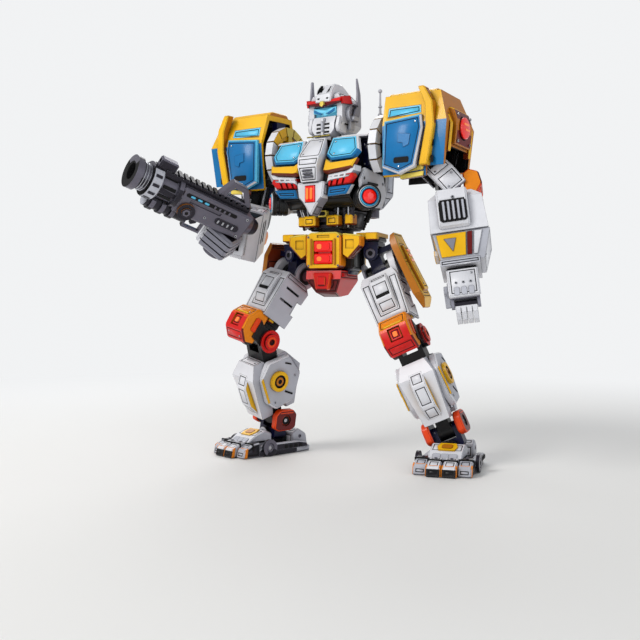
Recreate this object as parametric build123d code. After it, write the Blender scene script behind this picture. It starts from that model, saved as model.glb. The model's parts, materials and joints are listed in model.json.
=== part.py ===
from build123d import *
import math
import os

# A toy walking battle robot about 350 mm tall, standing with its torso turned, its right arm holding a
# blaster and its left arm hanging. Millimetres, +Z up, the robot faces -Y and its own left is +X.

# --- driving dimensions ---------------------------------------------------------------------------
HIP_ROLL_Z = 192.0      # height of both hip roll axes above the floor
HIP_X = 38.0            # hip yaw axes either side of the middle
HIP_DROP = 18.0         # roll axis down to the pitch axis
THIGH = 72.0            # hip pitch axis to knee axis
SHIN = 88.0             # knee axis to ankle pitch axis
ANKLE_DROP = 14.0       # ankle pitch axis down to the ankle roll axis
ANKLE_Z = 18.0          # ankle roll axis above the floor
WAIST_Z = 212.0         # bottom of the torso
SHOULDER_X = 78.0       # shoulder axes from the torso's middle
SHOULDER_Z = 75.0       # shoulder pitch axis above the bottom of the torso
NECK_Y = -4.0
NECK_Z = 84.0
HEAD_GROWTH = 1.08      # head drawn at 41 mm wide, then grown by this
UPPER_ARM = 60.0
FOREARM = 80.0
GRIP_DROP = 20.0        # wrist face to the middle of the fist's grip hole
KNUCKLE = (7.0, 0.0, -31.0)         # finger hinge in the left hand
DOOR_AXIS = (0.0, 36.5, 32.8)       # battery door hinge in the torso

# rest pose, degrees
TORSO_YAW = -12.0
LEG_POSE = {1: (2.0, 24.0, 12.0), -1: (28.0, 11.0, 6.0)}                  # yaw, roll, ankle forward in mm
ARM_POSE = {1: (-2.0, 46.0, -63.0, 34.0), -1: (2.0, 17.0, -20.0, 82.0)}   # pitch, roll, twist, elbow
WRIST_TURN = {1: 0.0, -1: 26.0}
GUN_SWIVEL = 50.0

# joint hardware
RUN = 0.05              # radial clearance of a running fit
GAP = 0.4               # clearance between faces that move past each other
PIN = 3.5               # radius of the leg roll pins
BIG_PIN = 4.0           # radius of the hip, knee, ankle, elbow and shoulder pins
CHEEK_IN = 7.4          # inner face of a fork cheek from the middle of the fork
CHEEK_OUT = 12.0        # outer face of a fork cheek
LUG = 7.0               # half width of the lug between two cheeks
NECK_PIN = 5.0
AXLE = 6.0              # radius of the shoulder axles and of the blaster grip
WAIST_PIN = 8.0
WALL = 3.0              # wall of the moulded shells


# --- small helpers --------------------------------------------------------------------------------
def soften(solid, bevel):
    if bevel <= 0:
        return solid
    return chamfer(solid.edges(), bevel)


def block(x0, x1, y0, y1, z0, z1, bevel=0.0):
    """A box given by its six limits."""
    middle = Pos((x0 + x1) / 2, (y0 + y1) / 2, (z0 + z1) / 2)
    return middle * soften(Box(x1 - x0, y1 - y0, z1 - z0), bevel)


def side_prism(points, x0, x1, bevel=0.0):
    """A profile of (y, z) points carried from x0 to x1."""
    face = Plane.YZ * Polygon(*points, align=None)
    return Pos(x0, 0, 0) * soften(extrude(face, x1 - x0, dir=(1, 0, 0)), bevel)


def front_prism(points, y0, y1, bevel=0.0):
    """A profile of (x, z) points carried from y0 to y1."""
    face = Plane.XZ * Polygon(*points, align=None)
    return Pos(0, y0, 0) * soften(extrude(face, y1 - y0, dir=(0, 1, 0)), bevel)


def top_prism(points, z0, z1, bevel=0.0):
    """A profile of (x, y) points carried from z0 to z1."""
    face = Plane.XY * Polygon(*points, align=None)
    return Pos(0, 0, z0) * soften(extrude(face, z1 - z0, dir=(0, 0, 1)), bevel)


def plate(points, thick, bevel=0.0):
    """A flat plate on the local XY plane whose outer rim is bevelled."""
    solid = extrude(Plane.XY * Polygon(*points, align=None), thick, dir=(0, 0, 1))
    if bevel > 0:
        solid = chamfer(solid.faces().sort_by(Axis.Z)[-1].edges(), bevel)
    return solid


def taper(low, z0, high, z1, bevel=0.0):
    """A block between two rectangles (x0, x1, y0, y1) at heights z0 and z1."""
    sections = []
    for (x0, x1, y0, y1), z in ((low, z0), (high, z1)):
        centre = Pos((x0 + x1) / 2, (y0 + y1) / 2, z)
        sections.append(centre * Rectangle(x1 - x0, y1 - y0))
    return soften(loft(sections, ruled=True), bevel)


def rod_x(x0, x1, radius, y=0.0, z=0.0):
    return Pos((x0 + x1) / 2, y, z) * Rot(Y=90) * Cylinder(radius, x1 - x0)


def rod_y(y0, y1, radius, x=0.0, z=0.0):
    return Pos(x, (y0 + y1) / 2, z) * Rot(X=90) * Cylinder(radius, y1 - y0)


def rod_z(z0, z1, radius, x=0.0, y=0.0):
    return Pos(x, y, (z0 + z1) / 2) * Cylinder(radius, z1 - z0)


def flipped(solid):
    return mirror(solid, about=Plane.YZ)


def both(solid):
    """A solid and its mirror image across the middle."""
    return solid + flipped(solid)


def facet_ring(outer, inner, sides, half_width, first=0, last=None, gap=0.0):
    """Separate wedge blocks round the X axis, from block number first up to last."""
    step = 360.0 / sides
    pieces = []
    for number in range(first, sides if last is None else last):
        a, b = (math.radians(number * step + gap), math.radians((number + 1) * step - gap))
        ring = [(r * math.cos(t), r * math.sin(t)) for r, t in ((inner, a), (outer, a), (outer, b), (inner, b))]
        pieces.append(side_prism(ring, -half_width, half_width))
    return pieces


def fork_x(radius, bridge_z0, bridge_z1):
    """Two cheeks either side of the X axis pin hole, joined by a bridge below."""
    cheeks = rod_x(CHEEK_IN, CHEEK_OUT, radius) + block(CHEEK_IN, CHEEK_OUT, -radius, radius, bridge_z0, 0)
    solid = both(cheeks) + block(-CHEEK_OUT, CHEEK_OUT, -radius, radius, bridge_z0, bridge_z1)
    return solid - rod_x(-CHEEK_OUT - 1, CHEEK_OUT + 1, BIG_PIN + RUN)


def lug_x(radius, z=0.0, pin=BIG_PIN):
    return rod_x(-LUG, LUG, radius, z=z) + rod_x(-CHEEK_OUT, CHEEK_OUT, pin, z=z)


# --- pelvis ---------------------------------------------------------------------------------------
PLATE_Z0 = HIP_ROLL_Z + 11.0
PLATE_Z1 = PLATE_Z0 + 4.0
BOSS_TOP = WAIST_Z - GAP


def pelvis_frame():
    core = block(-24, 24, -18, 18, 178, PLATE_Z1, 1.5)
    hip_plate = block(-47, 47, -12, 12, PLATE_Z0, PLATE_Z1, 1.0)
    boss = rod_z(PLATE_Z0, BOSS_TOP, 17)
    keel = taper((-9, 9, -10, 12), 158, (-20, 20, -15, 16), 179)
    solid = core + hip_plate + boss + keel
    solid -= block(-14, 14, -14, 14, 182, 190.6)
    solid -= rod_z(190, WAIST_Z, WAIST_PIN + RUN)
    for side in (1, -1):
        solid -= block(side * HIP_X - 17.0, side * HIP_X + 17.0, -13.5, 13.5, 170, PLATE_Z0)
        solid -= rod_z(PLATE_Z0 - 1, PLATE_Z1 + 1, NECK_PIN + RUN, side * HIP_X)
    # the buckle button slides in this pocket
    solid -= block(-9.4, 9.4, -19, -14, 181.6, 203.4)
    # cooling fins on the back of the pelvis
    for z in (184, 190, 196):
        solid += block(-18, 18, 17, 21, z, z + 3, 0.6)
    return solid


def belt_armour():
    frame = front_prism([(-17, 181), (-14, 177), (14, 177), (17, 181), (17, 207), (13, 211), (-13, 211),
                         (-17, 207)], -34, -18, 1.2)
    frame -= block(-9.4, 9.4, -40, -10, 181.6, 203.4)
    frame -= block(-6, 6, -40, -33, 206, 208.4)
    solids = frame
    for side in (1, -1):
        cheek = front_prism([(17, 190), (23, 186), (35, 199), (35, 208), (17, 210)], -31, -18, 1.2)
        cheek -= block(20.5, 28.5, -40, -30, 196, 204)
        window = block(20.5, 28.5, -30.0, -28.6, 196, 204)
        hip_cap = block(26, 47, -16, 16, PLATE_Z1, PLATE_Z1 + 4.0)
        hip_cap -= rod_z(PLATE_Z1 - 1, PLATE_Z1 + 6, 8.2, HIP_X)
        hip_lip = block(35.2, 47, -19, -12, PLATE_Z0 + 1.0, PLATE_Z1 + 4.0, 0.8)
        side_set = cheek + window + hip_cap + hip_lip
        solids += side_set if side > 0 else flipped(side_set)
    rear = front_prism([(-22, 180), (-12, 172), (12, 172), (22, 180), (22, 204), (-22, 204)], 21, 26, 1.2)
    rear -= block(-14, 14, 24.5, 30, 184, 187)
    rear -= block(-14, 14, 24.5, 30, 191, 194)
    return solids + rear


def crotch_guard():
    profile = [(-32, 176), (-34, 168), (-26, 156), (-10, 152), (10, 154), (16, 166), (14, 176)]
    guard = side_prism(profile, -17, 17)
    front = [(-17, 176.5), (-17, 168), (-8, 152), (8, 152), (17, 168), (17, 176.5)]
    guard &= front_prism(front, -40, 30)
    wedge = front_prism([(-9, 174), (-6, 158), (6, 158), (9, 174)], -38, -30, 1.2)
    lens = block(-4, 4, -40, -37, 162, 170, 0.8)
    return guard + wedge + lens


def buckle_button():
    """Two-part red lens in the belt; pressing it drives it 2 mm in."""
    lower = block(-9, 9, -35, -20, 182, 191.4, 1.0)
    upper = block(-9, 9, -35, -20, 193.0, 203, 1.0)
    stem = block(-6, 6, -30, -16.6, 184, 201)
    return lower + upper + stem


# --- torso ----------------------------------------------------------------------------------------
CORE_X = 36.0
CORE_BACK = 22.0
NOSE = [(CORE_BACK, 22), (CORE_BACK, 84), (-24, 84), (-37, 58), (-34, 30), (-24, 22)]
ROOM = [(CORE_BACK + 1, 26), (CORE_BACK + 1, 74), (-22, 74), (-33.4, 57), (-30.6, 33), (-22.5, 26)]
UPPER_FACE = Pos(0, -37, 58) * Rot(X=90 - math.degrees(math.atan2(13, 26)))
MIDDLE_FACE = Pos(0, -34, 30) * Rot(X=90 + math.degrees(math.atan2(3, 28)))
CELL_R = 7.2
CELL_ZS = (35.0, 50.5, 66.0)
CELL_Y = 13.0
POD_AT = Pos(43, -20, 29) * Rot(Z=48) * Rot(X=90)


def torso_frame():
    solid = side_prism(NOSE, -CORE_X, CORE_X)
    solid -= side_prism(ROOM, -CORE_X + WALL, CORE_X - WALL)
    waist = rod_z(0, 22, 17) + rod_z(4, 7, 20) + rod_z(10, 13, 20) + rod_z(16, 19, 20)
    waist += taper((-18, 18, -16, 16), 19, (-30, 30, -24, 21), 24)
    waist += taper((-21, 21, -13, 14), 2, (-27, 27, -18, 18), 21, 1.5)
    solid += waist
    solid += rod_z(-24, 0, WAIST_PIN) + rod_z(-27, -24, 11)
    # neck bearing
    solid += rod_z(82, NECK_Z - GAP, 12, 0, NECK_Y)
    solid -= rod_z(73, 90, NECK_PIN + RUN, 0, NECK_Y)
    # shoulder bearings
    for side in (1, -1):
        tube = rod_x(30, 62, 13.5, z=SHOULDER_Z)
        tube += block(CORE_X - 1, 50, -16, 16, 55, 84, 1.5)
        tube += block(CORE_X - 1, 44, -20, 18, 24, 56, 2.0)
        tube -= block(0, CORE_X - WALL, -30, 30, 26, 74)
        tube -= rod_x(33, 64, AXLE + RUN, z=SHOULDER_Z)
        tube -= rod_x(38, 47.2, 9.6, z=SHOULDER_Z)
        solid += tube if side > 0 else flipped(tube)
        bore = rod_x(32, 64, AXLE + RUN, z=SHOULDER_Z) + rod_x(38, 47.2, 9.6, z=SHOULDER_Z)
        solid -= bore if side > 0 else flipped(bore)
    # cradle walls for the cells
    for side in (1, -1):
        wall = block(25, 27.5, 5.4, 21, 25, 75)
        solid += wall if side > 0 else flipped(wall)
    # tapered mast aerial behind the left shoulder
    mast = Pos(38, 18, 84) * (Pos(0, 0, 3) * Cylinder(4, 6) + Pos(0, 0, 10) * Cone(2.6, 1.6, 10))
    mast += Pos(38, 18, 98) * Cone(1.6, 0.9, 34, align=(Align.CENTER, Align.CENTER, Align.MIN))
    mast += Pos(38, 18, 133.5) * Sphere(2.0)
    mast += rod_z(110, 112, 2.2, 38, 18) + rod_z(118, 119.5, 1.9, 38, 18)
    return solid + mast


def chest_shell():
    hood = side_prism([(-46, 44), (-49, 58), (-47, 66), (-32, 85), (-22, 88), (-22, 84), (-30, 84), (-36, 44)],
                      -12, 12)
    hood &= front_prism([(-8.5, 43), (8.5, 43), (12, 70), (8, 89), (-8, 89), (-12, 70)], -60, 0)
    spear = front_prism([(-15, 44), (15, 44), (13, 30), (7, 24), (0, 13), (-7, 24), (-13, 30)], -44, -30, 1.2)
    spear -= block(-5.6, 5.6, -50, -41.4, 25.5, 41)
    solid = hood + spear
    for side in (1, -1):
        rib = front_prism([(16, 42), (20, 44), (40, 46), (46, 52), (46, 57), (38, 52), (18, 50)], -42, -30, 0.8)
        flank = side_prism([(-30, 27), (-24, 20), (6, 22), (14, 34), (8, 52), (-26, 56), (-34, 44)], 44, 47.5, 0.9)
        shoulder_cap = side_prism([(-26, 84), (16, 84), (14, 87), (-22, 87)], 14, 50, 0.8)
        side_set = rib + flank + shoulder_cap
        solid += side_set if side > 0 else flipped(side_set)
    return solid


def chest_blue_panels():
    upper = plate([(13, 9), (20, 3), (42, 4), (47, 12), (42, 27), (15, 28)], 6, 1.6)
    lower = plate([(16, 1), (36, 2), (42, 10), (18, 9)], 7, 1.2)
    one_side = UPPER_FACE * upper + MIDDLE_FACE * lower
    return one_side + flipped(one_side)


def chest_yellow_panels():
    strip = plate([(14, -8), (18, -9), (44, -6), (47, 4), (42, 2), (20, 1), (13, 6)], 5, 1.0)
    bib = plate([(-10, -1), (10, -1), (8, 11), (-8, 11)], 4, 1.0)
    abdomen = block(6, 19, -27, -18, 5, 15, 1.2)
    outer = block(21.5, 30, -20, -10, 6, 16, 1.2)
    one_side = UPPER_FACE * strip + abdomen + outer
    return one_side + flipped(one_side) + UPPER_FACE * Pos(0, 12, 0) * bib


def chest_red_lenses():
    lamp = block(-5.2, 5.2, -45.6, -41.4, 25.9, 40.6, 0.9)
    vent = plate([(17, 10), (40, 11), (45, 17), (43, 21), (17, 19)], 6, 1.0)
    for x in (22, 28, 34):
        vent -= Pos(x, 15, 6) * Rot(Z=-20) * Box(2, 14, 4)
    vent = MIDDLE_FACE * vent
    return lamp + vent + flipped(vent)


def collar_arches():
    pieces = []
    for part in facet_ring(31, 22.5, 14, 4.0, -2, 9, 1.2):
        pieces.append(Pos(56.5, 0, SHOULDER_Z) * part)
    for part in facet_ring(26, 19, 12, 2.4, -1, 8, 0.0):
        pieces.append(Pos(56.5, 0, SHOULDER_Z) * part)
    spokes = block(52.5, 60.5, -3, 3, SHOULDER_Z + 13, SHOULDER_Z + 24)
    spokes += block(50, 58, -24, -13, SHOULDER_Z - 3, SHOULDER_Z + 3)
    spokes += block(50, 58, 13, 24, SHOULDER_Z - 3, SHOULDER_Z + 3)
    arch = spokes
    for part in pieces:
        arch += part
    return arch + flipped(arch)


def side_pods():
    drum = rod_z(0, 8, 11.5) + rod_z(8, 10.5, 10) + rod_z(10.5, 14, 11.5)
    cone = Pos(0, 0, -6) * Cone(8, 11.5, 6, align=(Align.CENTER, Align.CENTER, Align.MIN))
    lens = Pos(0, 0, 14) * Cone(9, 6.5, 3, align=(Align.CENTER, Align.CENTER, Align.MIN))
    pod = POD_AT * (drum + cone + lens)
    return pod + flipped(pod)


def back_shell():
    outline = [(-30, 24), (30, 24), (42, 36), (44, 74), (34, 86), (-34, 86), (-44, 74), (-42, 36)]
    solid = front_prism(outline, CORE_BACK, 38, 1.4)
    solid -= block(-31, 31, CORE_BACK - 1, 35, 27, 76)
    solid -= block(-24.4, 24.4, 34, 40, 30.6, 71.4)
    solid -= block(-24.4, 24.4, 31, 36, 30.6, 35.4)
    for side in (1, -1):
        solid -= rod_x(20, 28, 1.5 + RUN, 36.5, 32.8) if side > 0 else rod_x(-28, -20, 1.5 + RUN, 36.5, 32.8)
        fin = side_prism([(38, 40), (43, 46), (43, 68), (38, 74)], 28, 34)
        nozzle = rod_z(16, 27, 7.5, 22, 30) - rod_z(10, 20, 5.5, 22, 30)
        side_set = fin + nozzle
        solid += side_set if side > 0 else flipped(side_set)
    solid -= block(-9.4, 9.4, 35.6, 40, 77.0, 82.0)
    return solid


def battery_door():
    solid = block(-24, 24, 35.4, 38, 32.8, 71)
    solid += rod_x(-24, 24, 1.5, 36.5, 32.8)
    solid += rod_x(-27, 27, 1.5, 36.5, 32.8)
    for z in (42, 50, 58):
        solid += block(-18, 18, 38, 39.4, z, z + 4, 0.6)
    solid -= block(-5, 5, 36.8, 40, 66, 69)
    return solid


def power_switch():
    return block(-9, -1, 36.0, 41, 77.4, 81.6, 0.6) + block(-9, -1, 35.6, 37.5, 77.4, 81.6)


def battery_cells():
    solid = None
    for z in CELL_ZS:
        cell = rod_x(-25, 23.5, CELL_R, CELL_Y, z) + rod_x(23.5, 25, 2.6, CELL_Y, z)
        solid = cell if solid is None else solid + cell
    return solid


def sound_unit():
    """Circuit board with its chips and stand-offs, and the speaker wired to it."""
    board = block(-28, 28, -18, -16.4, 53, 72)
    for x in (-18, 0, 16):
        board += block(x - 4, x + 4, -16.4, -14.4, 58, 66)
    for x in (-25, 25):
        for z in (56, 69):
            board += rod_y(-34, -18, 1.8, x, z)
    return board + rod_y(-34, -26, 8.5, 0, 42) + rod_y(-26, -21, 5, 0, 42)


# --- head -----------------------------------------------------------------------------------------
def grown(solid):
    return scale(solid, HEAD_GROWTH)


def neck_post():
    solid = rod_z(-10.4, GAP, NECK_PIN) + rod_z(-14, -10.4, 8)
    solid += rod_z(GAP, 3, 10) + rod_z(3, 9, 7.5) + rod_z(5, 6.4, 9) + rod_z(9, 20, 6)
    return solid


def helmet():
    dome = front_prism([(-14, 10), (-17, 16), (-17, 33), (-12, 42), (12, 42), (17, 33), (17, 16), (14, 10)], -13, 19)
    dome &= side_prism([(-13, 10), (-13, 40), (-8, 43), (10, 43), (18, 36), (19, 14), (14, 9)], -20, 20)
    dome -= block(-11.5, 11.5, -20, -4, 4, 31)
    crest = side_prism([(-18, 33), (-16, 44), (-10, 50), (2, 51), (13, 46), (17, 38), (12, 34)], -8, 8, 1.0)
    crest -= side_prism([(-20, 38), (-13.5, 43), (-8, 47.4), (-6, 60), (-20, 60)], -6.2, 6.2)
    crest -= block(-6.2, 6.2, -6, 6, 48, 60)
    ridge = side_prism([(-17, 35), (-15.5, 42), (-9, 48.6), (2, 50), (4, 46), (-6, 40)], -2.6, 2.6)
    solid = dome + crest + ridge
    for side in (1, -1):
        cheek = side_prism([(-15, 8), (-17, 12), (-14, 21), (-6, 23), (-2, 14), (-5, 6)], 11.5, 16, 0.8)
        ear = rod_x(16, 21, 7.0, -1, 24) + block(17, 20, -4, 3, 10, 24, 0.6)
        ear -= rod_x(20, 22, 4.2, -1, 24)
        side_set = cheek + ear
        solid += side_set if side > 0 else flipped(side_set)
    rear = block(-9, 9, 17, 21, 14, 30, 1.2)
    straight = side_prism([(-4, 22), (3, 20), (3.5, 34), (0.8, 57), (-0.8, 57), (-3.5, 36)], 21, 23.4, 0.4)
    horn = side_prism([(-5, 18), (3, 17), (8, 30), (7, 42), (2, 55), (3, 43), (2, 34)], 21, 23.4, 0.4)
    return grown(solid + rear + flipped(straight) + horn)


def face_guard():
    jaw = side_prism([(-4, 5), (-14, 3), (-17.5, 6), (-17, 15), (-14, 21.5), (-4, 21.5)], -11.4, 11.4)
    jaw &= front_prism([(-11.4, 22), (-11.4, 10), (-6, 3), (6, 3), (11.4, 10), (11.4, 22)], -30, 0)
    for z in (7.0, 10.4, 13.8):
        jaw -= block(-6.5, 6.5, -30, -15.6, z, z + 1.6)
    mask = block(-1.2, 1.2, -18.6, -14, 5, 20)
    return grown(jaw + mask)


def brow_band():
    band = side_prism([(-16.5, 30), (-17.5, 33), (-15, 36.5), (-4, 36.5), (-4, 30)], -17, 17)
    band &= front_prism([(0, 29.5), (-17.6, 33), (-18.5, 37), (0, 34.6), (18.5, 37), (17.6, 33)], -30, 0)
    wing = side_prism([(-14, 31), (-15, 37), (-2, 40), (2, 33)], 16.5, 18.4)
    badge = front_prism([(-2.2, 31), (0, 29), (2.2, 31), (1.6, 34), (-1.6, 34)], -19.4, -16)
    return grown(band + wing + flipped(wing) + badge)


def eye_visor():
    strip = side_prism([(-4, 22), (-13.5, 22.4), (-15, 26), (-14, 29.4), (-4, 29.4)], -11, 11)
    strip &= front_prism([(0, 22.6), (-11, 25), (-11, 29.4), (0, 27), (11, 29.4), (11, 25)], -30, 0)
    return grown(strip + block(-11, 11, -10.5, -4, 22, 30))


# --- arms (local origin on the shoulder, elbow or wrist axis; the limb runs down -Z) ----------------
def shoulder_hub():
    solid = rod_x(-30.4, -12, AXLE) + rod_x(-37.4, -30.8, 9.0)
    solid += rod_x(-31, -30, AXLE)
    plate_profile = [(-14, -8), (-8, -14), (8, -14), (14, -8), (14, 8), (8, 14), (-8, 14), (-14, 8)]
    solid += side_prism(plate_profile, -15.4, -9.4)
    for side in (1, -1):
        y0, y1 = (8.4, 13.6) if side > 0 else (-13.6, -8.4)
        solid += block(-10, 0, y0, y1, -8, 8) + rod_y(y0, y1, 8.0)
    solid += block(-15.4, -9.4, -7, 7, 12, 36)
    return solid - rod_y(-16, 16, BIG_PIN + RUN)


def pauldron():
    outer = taper((-12, 46, -26, 26), -32, (-12, 50, -29, 29), 14)
    outer += taper((-12, 50, -29, 29), 14, (-14, 40, -20, 20), 42)
    inner = taper((-20, 43, -23, 23), -33, (-20, 47, -26, 26), 13)
    inner += taper((-20, 47, -26, 26), 13, (-20, 37, -17, 17), 37)
    solid = outer - inner
    # the outer wall stops high so that the arm can swing out under it
    solid -= block(20, 60, -23.4, 23.4, -40, -7)
    solid -= side_prism([(-32, -40), (-32, -26), (-8, -18), (8, -18), (32, -26), (32, -40)], 30, 60)
    solid -= side_prism([(-40, -24), (-14, -34), (14, -34), (40, -24), (40, -60), (-40, -60)], -20, 20)
    roof = side_prism([(-17, 41), (-12, 46), (12, 46), (17, 41)], -14, 34, 1.0)
    rib = front_prism([(26, -24), (34, -24), (40, 10), (38, 30), (30, 44), (24, 44), (31, 28), (32, 10)],
                      -33, -24, 0.8)
    rear_rib = Pos(0, 57, 0) * rib
    return solid + roof + rib + rear_rib


def pauldron_trim():
    face = Pos(0, -28.2, 0) * Rot(X=86.3)
    front = plate([(-9, -24), (8, -31), (23, -25), (29, 8), (27, 20), (-9, 17)], 5, 1.6)
    brow = plate([(-9, 18.5), (26, 21.5), (24, 31), (-9, 31)], 3.4, 1.2)
    solid = face * front
    solid += Pos(0, -28.8, 0) * Rot(X=75) * brow
    solid += Pos(0, 28.2, 0) * Rot(X=-86.3) * mirror(front, about=Plane.XZ)
    # ringed lens on the outer side
    socket = front_prism([(46, -5), (52, -5), (53.5, 8), (53.5, 16), (50, 26), (44, 28), (44, -5)], -15, 17, 0.9)
    socket -= rod_x(51, 60, 10.2, -0.5, 10.5)
    lens = rod_x(50, 54, 9.4, -0.5, 10.5) + rod_x(54, 55.4, 6.6, -0.5, 10.5)
    for y in (-23, 19):
        solid += front_prism([(44, -12), (49.5, -12), (51.5, 12), (46, 24), (43, 24)], y, y + 4.5, 0.6)
    # ribbed bands below the front edge
    for number, z in enumerate((-34, -28.5)):
        solid += front_prism([(6 + number, z), (28, z + 1.5), (28.5, z + 6), (5, z + 4.4)], -27.5, -22.8, 0.5)
    return solid + socket + lens


def arm_yoke():
    solid = rod_y(-8, 8, 8.0) + block(-8, 8, -8, 8, -17, 0) + rod_y(-13.4, 13.4, BIG_PIN)
    return solid - rod_z(-18, -7.6, NECK_PIN + RUN)


def upper_arm():
    solid = rod_z(-22, -8, NECK_PIN) + rod_z(-21.4, -17.4, 9.5)
    solid += block(-8, 8, -8, 8, -46, -21, 1.0)
    solid += Pos(0, 0, -UPPER_ARM) * Rot(X=180) * fork_x(8.0, -15.5, -9.5)
    outer = front_prism([(12.4, -22), (16, -26), (19, -50), (15, -68), (12.4, -68)], -10, 10, 0.8)
    outer += block(8, 13, -5, 5, -40, -26)
    inner = block(-13.5, -8, -7, 7, -42, -24, 1.0)
    return solid + outer + inner


def forearm_frame():
    solid = lug_x(7.0) + block(-7, 7, -6.5, 6.5, -18, 0) + block(-10, 10, -9, 9, -FOREARM, -14)
    solid += rod_z(-FOREARM, -FOREARM + 6, 12)
    solid -= rod_z(-FOREARM - 1, -FOREARM + 14, BIG_PIN + RUN)
    solid += block(-6, 6, 6, 11, -10, -2)
    for y in (-13, 13):
        solid += rod_z(-70, -22, 3.2, 0, y)
    return solid


def forearm_armour():
    upper = taper((-22, 25, -22, 26), -52, (-19, 27, -21, 24), -22)
    upper += taper((-19, 27, -21, 24), -22, (-13, 22, -14, 16), -14)
    upper -= taper((-19, 22, -19, 23), -53, (-16, 23, -18, 21), -21)
    upper -= block(-12.6, 12.6, -17, 16, -30, 0)
    shoulder = front_prism([(22, -22), (30, -14), (34, -24), (30, -48), (24, -50)], -14, 12, 1.4)
    grooves = block(-23, -15, -12, 10, -46, -42) + block(-23, -15, -12, 10, -38, -34)
    front_cut = block(-10, 12, -24, -18.4, -47, -34)
    return upper + shoulder - grooves - front_cut


def forearm_trim():
    """Lower panels, vent fins, wrist cuff and elbow guard."""
    lower = taper((-15, 17, -16, 20), -76, (-21.5, 23.5, -20.5, 27), -52.4)
    lower -= block(-12, 12, -12, 12, -80, -50)
    stripe = block(-7, 9, -21.6, -17.5, -66, -60, 0.6)
    fins = None
    for x in (-7.5, -2.5, 2.5, 7.5):
        fin = block(x - 0.9, x + 2.1, -20.5, -17.2, -46.5, -34.5)
        fins = fin if fins is None else fins + fin
    rib = block(-12, 12, -18.5, -16.8, -48, -33)
    cuff = taper((-17, 18, -17, 16), -79.6, (-17, 18, -17, 16), -74)
    cuff -= block(-12, 12, -12, 12, -90, -70)
    elbow = side_prism([(10, 8), (16, 12), (24, 8), (26, -4), (20, -13), (10, -11)], -12, 12, 1.2)
    return lower + stripe + fins + rib + cuff + elbow


def palm():
    solid = rod_z(-GAP - 0.2, 13, BIG_PIN) + rod_z(-4, -GAP, 13)
    solid += block(-14, 14, -11, 11, -34, -4, 2.0)
    return solid


def gun_hand():
    solid = palm()
    for y in (-5.5, 0, 5.5):
        solid -= block(-20, -11.5, y - 0.5, y + 0.5, -40, -8)
        solid -= block(-20, 20, y - 0.5, y + 0.5, -40, -32)
    solid += block(12, 18, -11, 11, -30, -1, 1.4)
    return solid - rod_y(-20, 20, AXLE + RUN, 0, -GRIP_DROP)


def open_hand():
    solid = rod_z(-GAP - 0.2, 13, BIG_PIN) + rod_z(-4, -GAP, 13)
    solid += block(0, 13, -12, 12, -27, -4, 1.6)
    knuckle = block(3.4, 10.6, -12, 12, -31, -26)
    solid += knuckle + rod_y(-12, 12, 3.6, 7, -31)
    solid -= block(0, 16, -9.4, 9.4, -40, -27.0)
    solid -= rod_y(-14, 14, 2.0 + RUN, 7, -31)
    guard = block(12, 16.5, -13, 13, -27, -2, 1.2)
    thumb = front_prism([(1, -10), (-9, -14), (-13, -25), (-9, -27), (-4, -18), (1, -17)], -17.5, -12.4, 0.7)
    thumb += block(0, 6, -14, -9, -18, -10)
    return solid + guard + thumb


def fingers():
    curl = [(3.4, -31), (5.4, -35.5), (8, -38), (2, -42.5), (-8, -42.5), (-13, -36), (-12, -28), (-8.6, -28),
            (-8.4, -34), (-5, -37), (1, -37), (3, -34)]
    solid = rod_y(-9, 9, 3.4, 7, -31) + rod_y(-11.6, 11.6, 2.0, 7, -31)
    for y in (-6.9, -2.3, 2.3, 6.9):
        solid += front_prism(curl, y - 2.0, y + 2.0)
        solid += front_prism([(4, -33), (7, -31), (10.4, -31), (8, -38), (4, -39)], y - 2.0, y + 2.0)
    solid += front_prism([(4.4, -33), (9.8, -33), (7.6, -37), (3, -36.6)], -9, 9)
    return solid


# --- blaster (origin in the middle of the grip; barrel along -Z, top towards -Y) --------------------
BORE_Y = -25.0


def blaster():
    grip = rod_y(-14, 11.4, AXLE) + rod_y(11.4, 15, 9.0)
    receiver = block(-11, 11, -37, -11.4, -62, 10, 1.6)
    receiver -= block(10, 14, -29, -26, -52, -20)
    receiver -= block(-14, -10, -29, -26, -52, -20)
    receiver -= block(-3.4, 3.4, -16, -11, -37.4, -26)
    tail = Pos(0, BORE_Y, 9) * Cone(11, 6, 12, align=(Align.CENTER, Align.CENTER, Align.MIN))
    barrel = rod_z(-90, -60, 11.5, 0, BORE_Y) + rod_z(-66, -62, 14, 0, BORE_Y)
    collar = rod_z(-92, -83, 15.5, 0, BORE_Y) + rod_z(-101, -92, 12, 0, BORE_Y)
    muzzle = rod_z(-107, -101, 14.5, 0, BORE_Y)
    solid = grip + receiver + tail + barrel + collar + muzzle
    solid -= rod_z(-110, -86, 9, 0, BORE_Y)
    rail = block(-5, 5, -42, -34, -82, 4)
    for number in range(14):
        z = -78 + number * 6.0
        rail -= block(-6, 6, -43, -40.4, z, z + 2.4)
    front_sight = block(-4, 4, -49, -33, -90, -74, 1.2) - rod_z(-95, -70, 2.0, 0, -45.2)
    carry = side_prism([(-41, -30), (-58, -24), (-57, -8), (-41, 6)], -3.4, 3.4, 0.8)
    carry -= side_prism([(-44, -23), (-53, -20), (-52.5, -11), (-44, -3)], -5, 5)
    pump = rod_z(-84, -44, 7.5, 0, -9) + rod_z(-80, -76, 9, 0, -9) + rod_z(-70, -66, 9, 0, -9)
    pump += rod_z(-60, -56, 9, 0, -9)
    pump += block(-6, 6, -14, -4, -60, -42, 1.0)
    cell = rod_x(-13, 13, 8, -17, -50) + rod_x(-14, 14, 4.5, -17, -50)
    guard = side_prism([(-12, -42), (2, -42), (2, -23.6), (-12, -23.6), (-12, -25.2), (0, -25.2), (0, -40.4),
                        (-12, -40.4)], -2.4, 2.4)
    return solid + rail + front_sight + carry + pump + cell + guard


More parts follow.
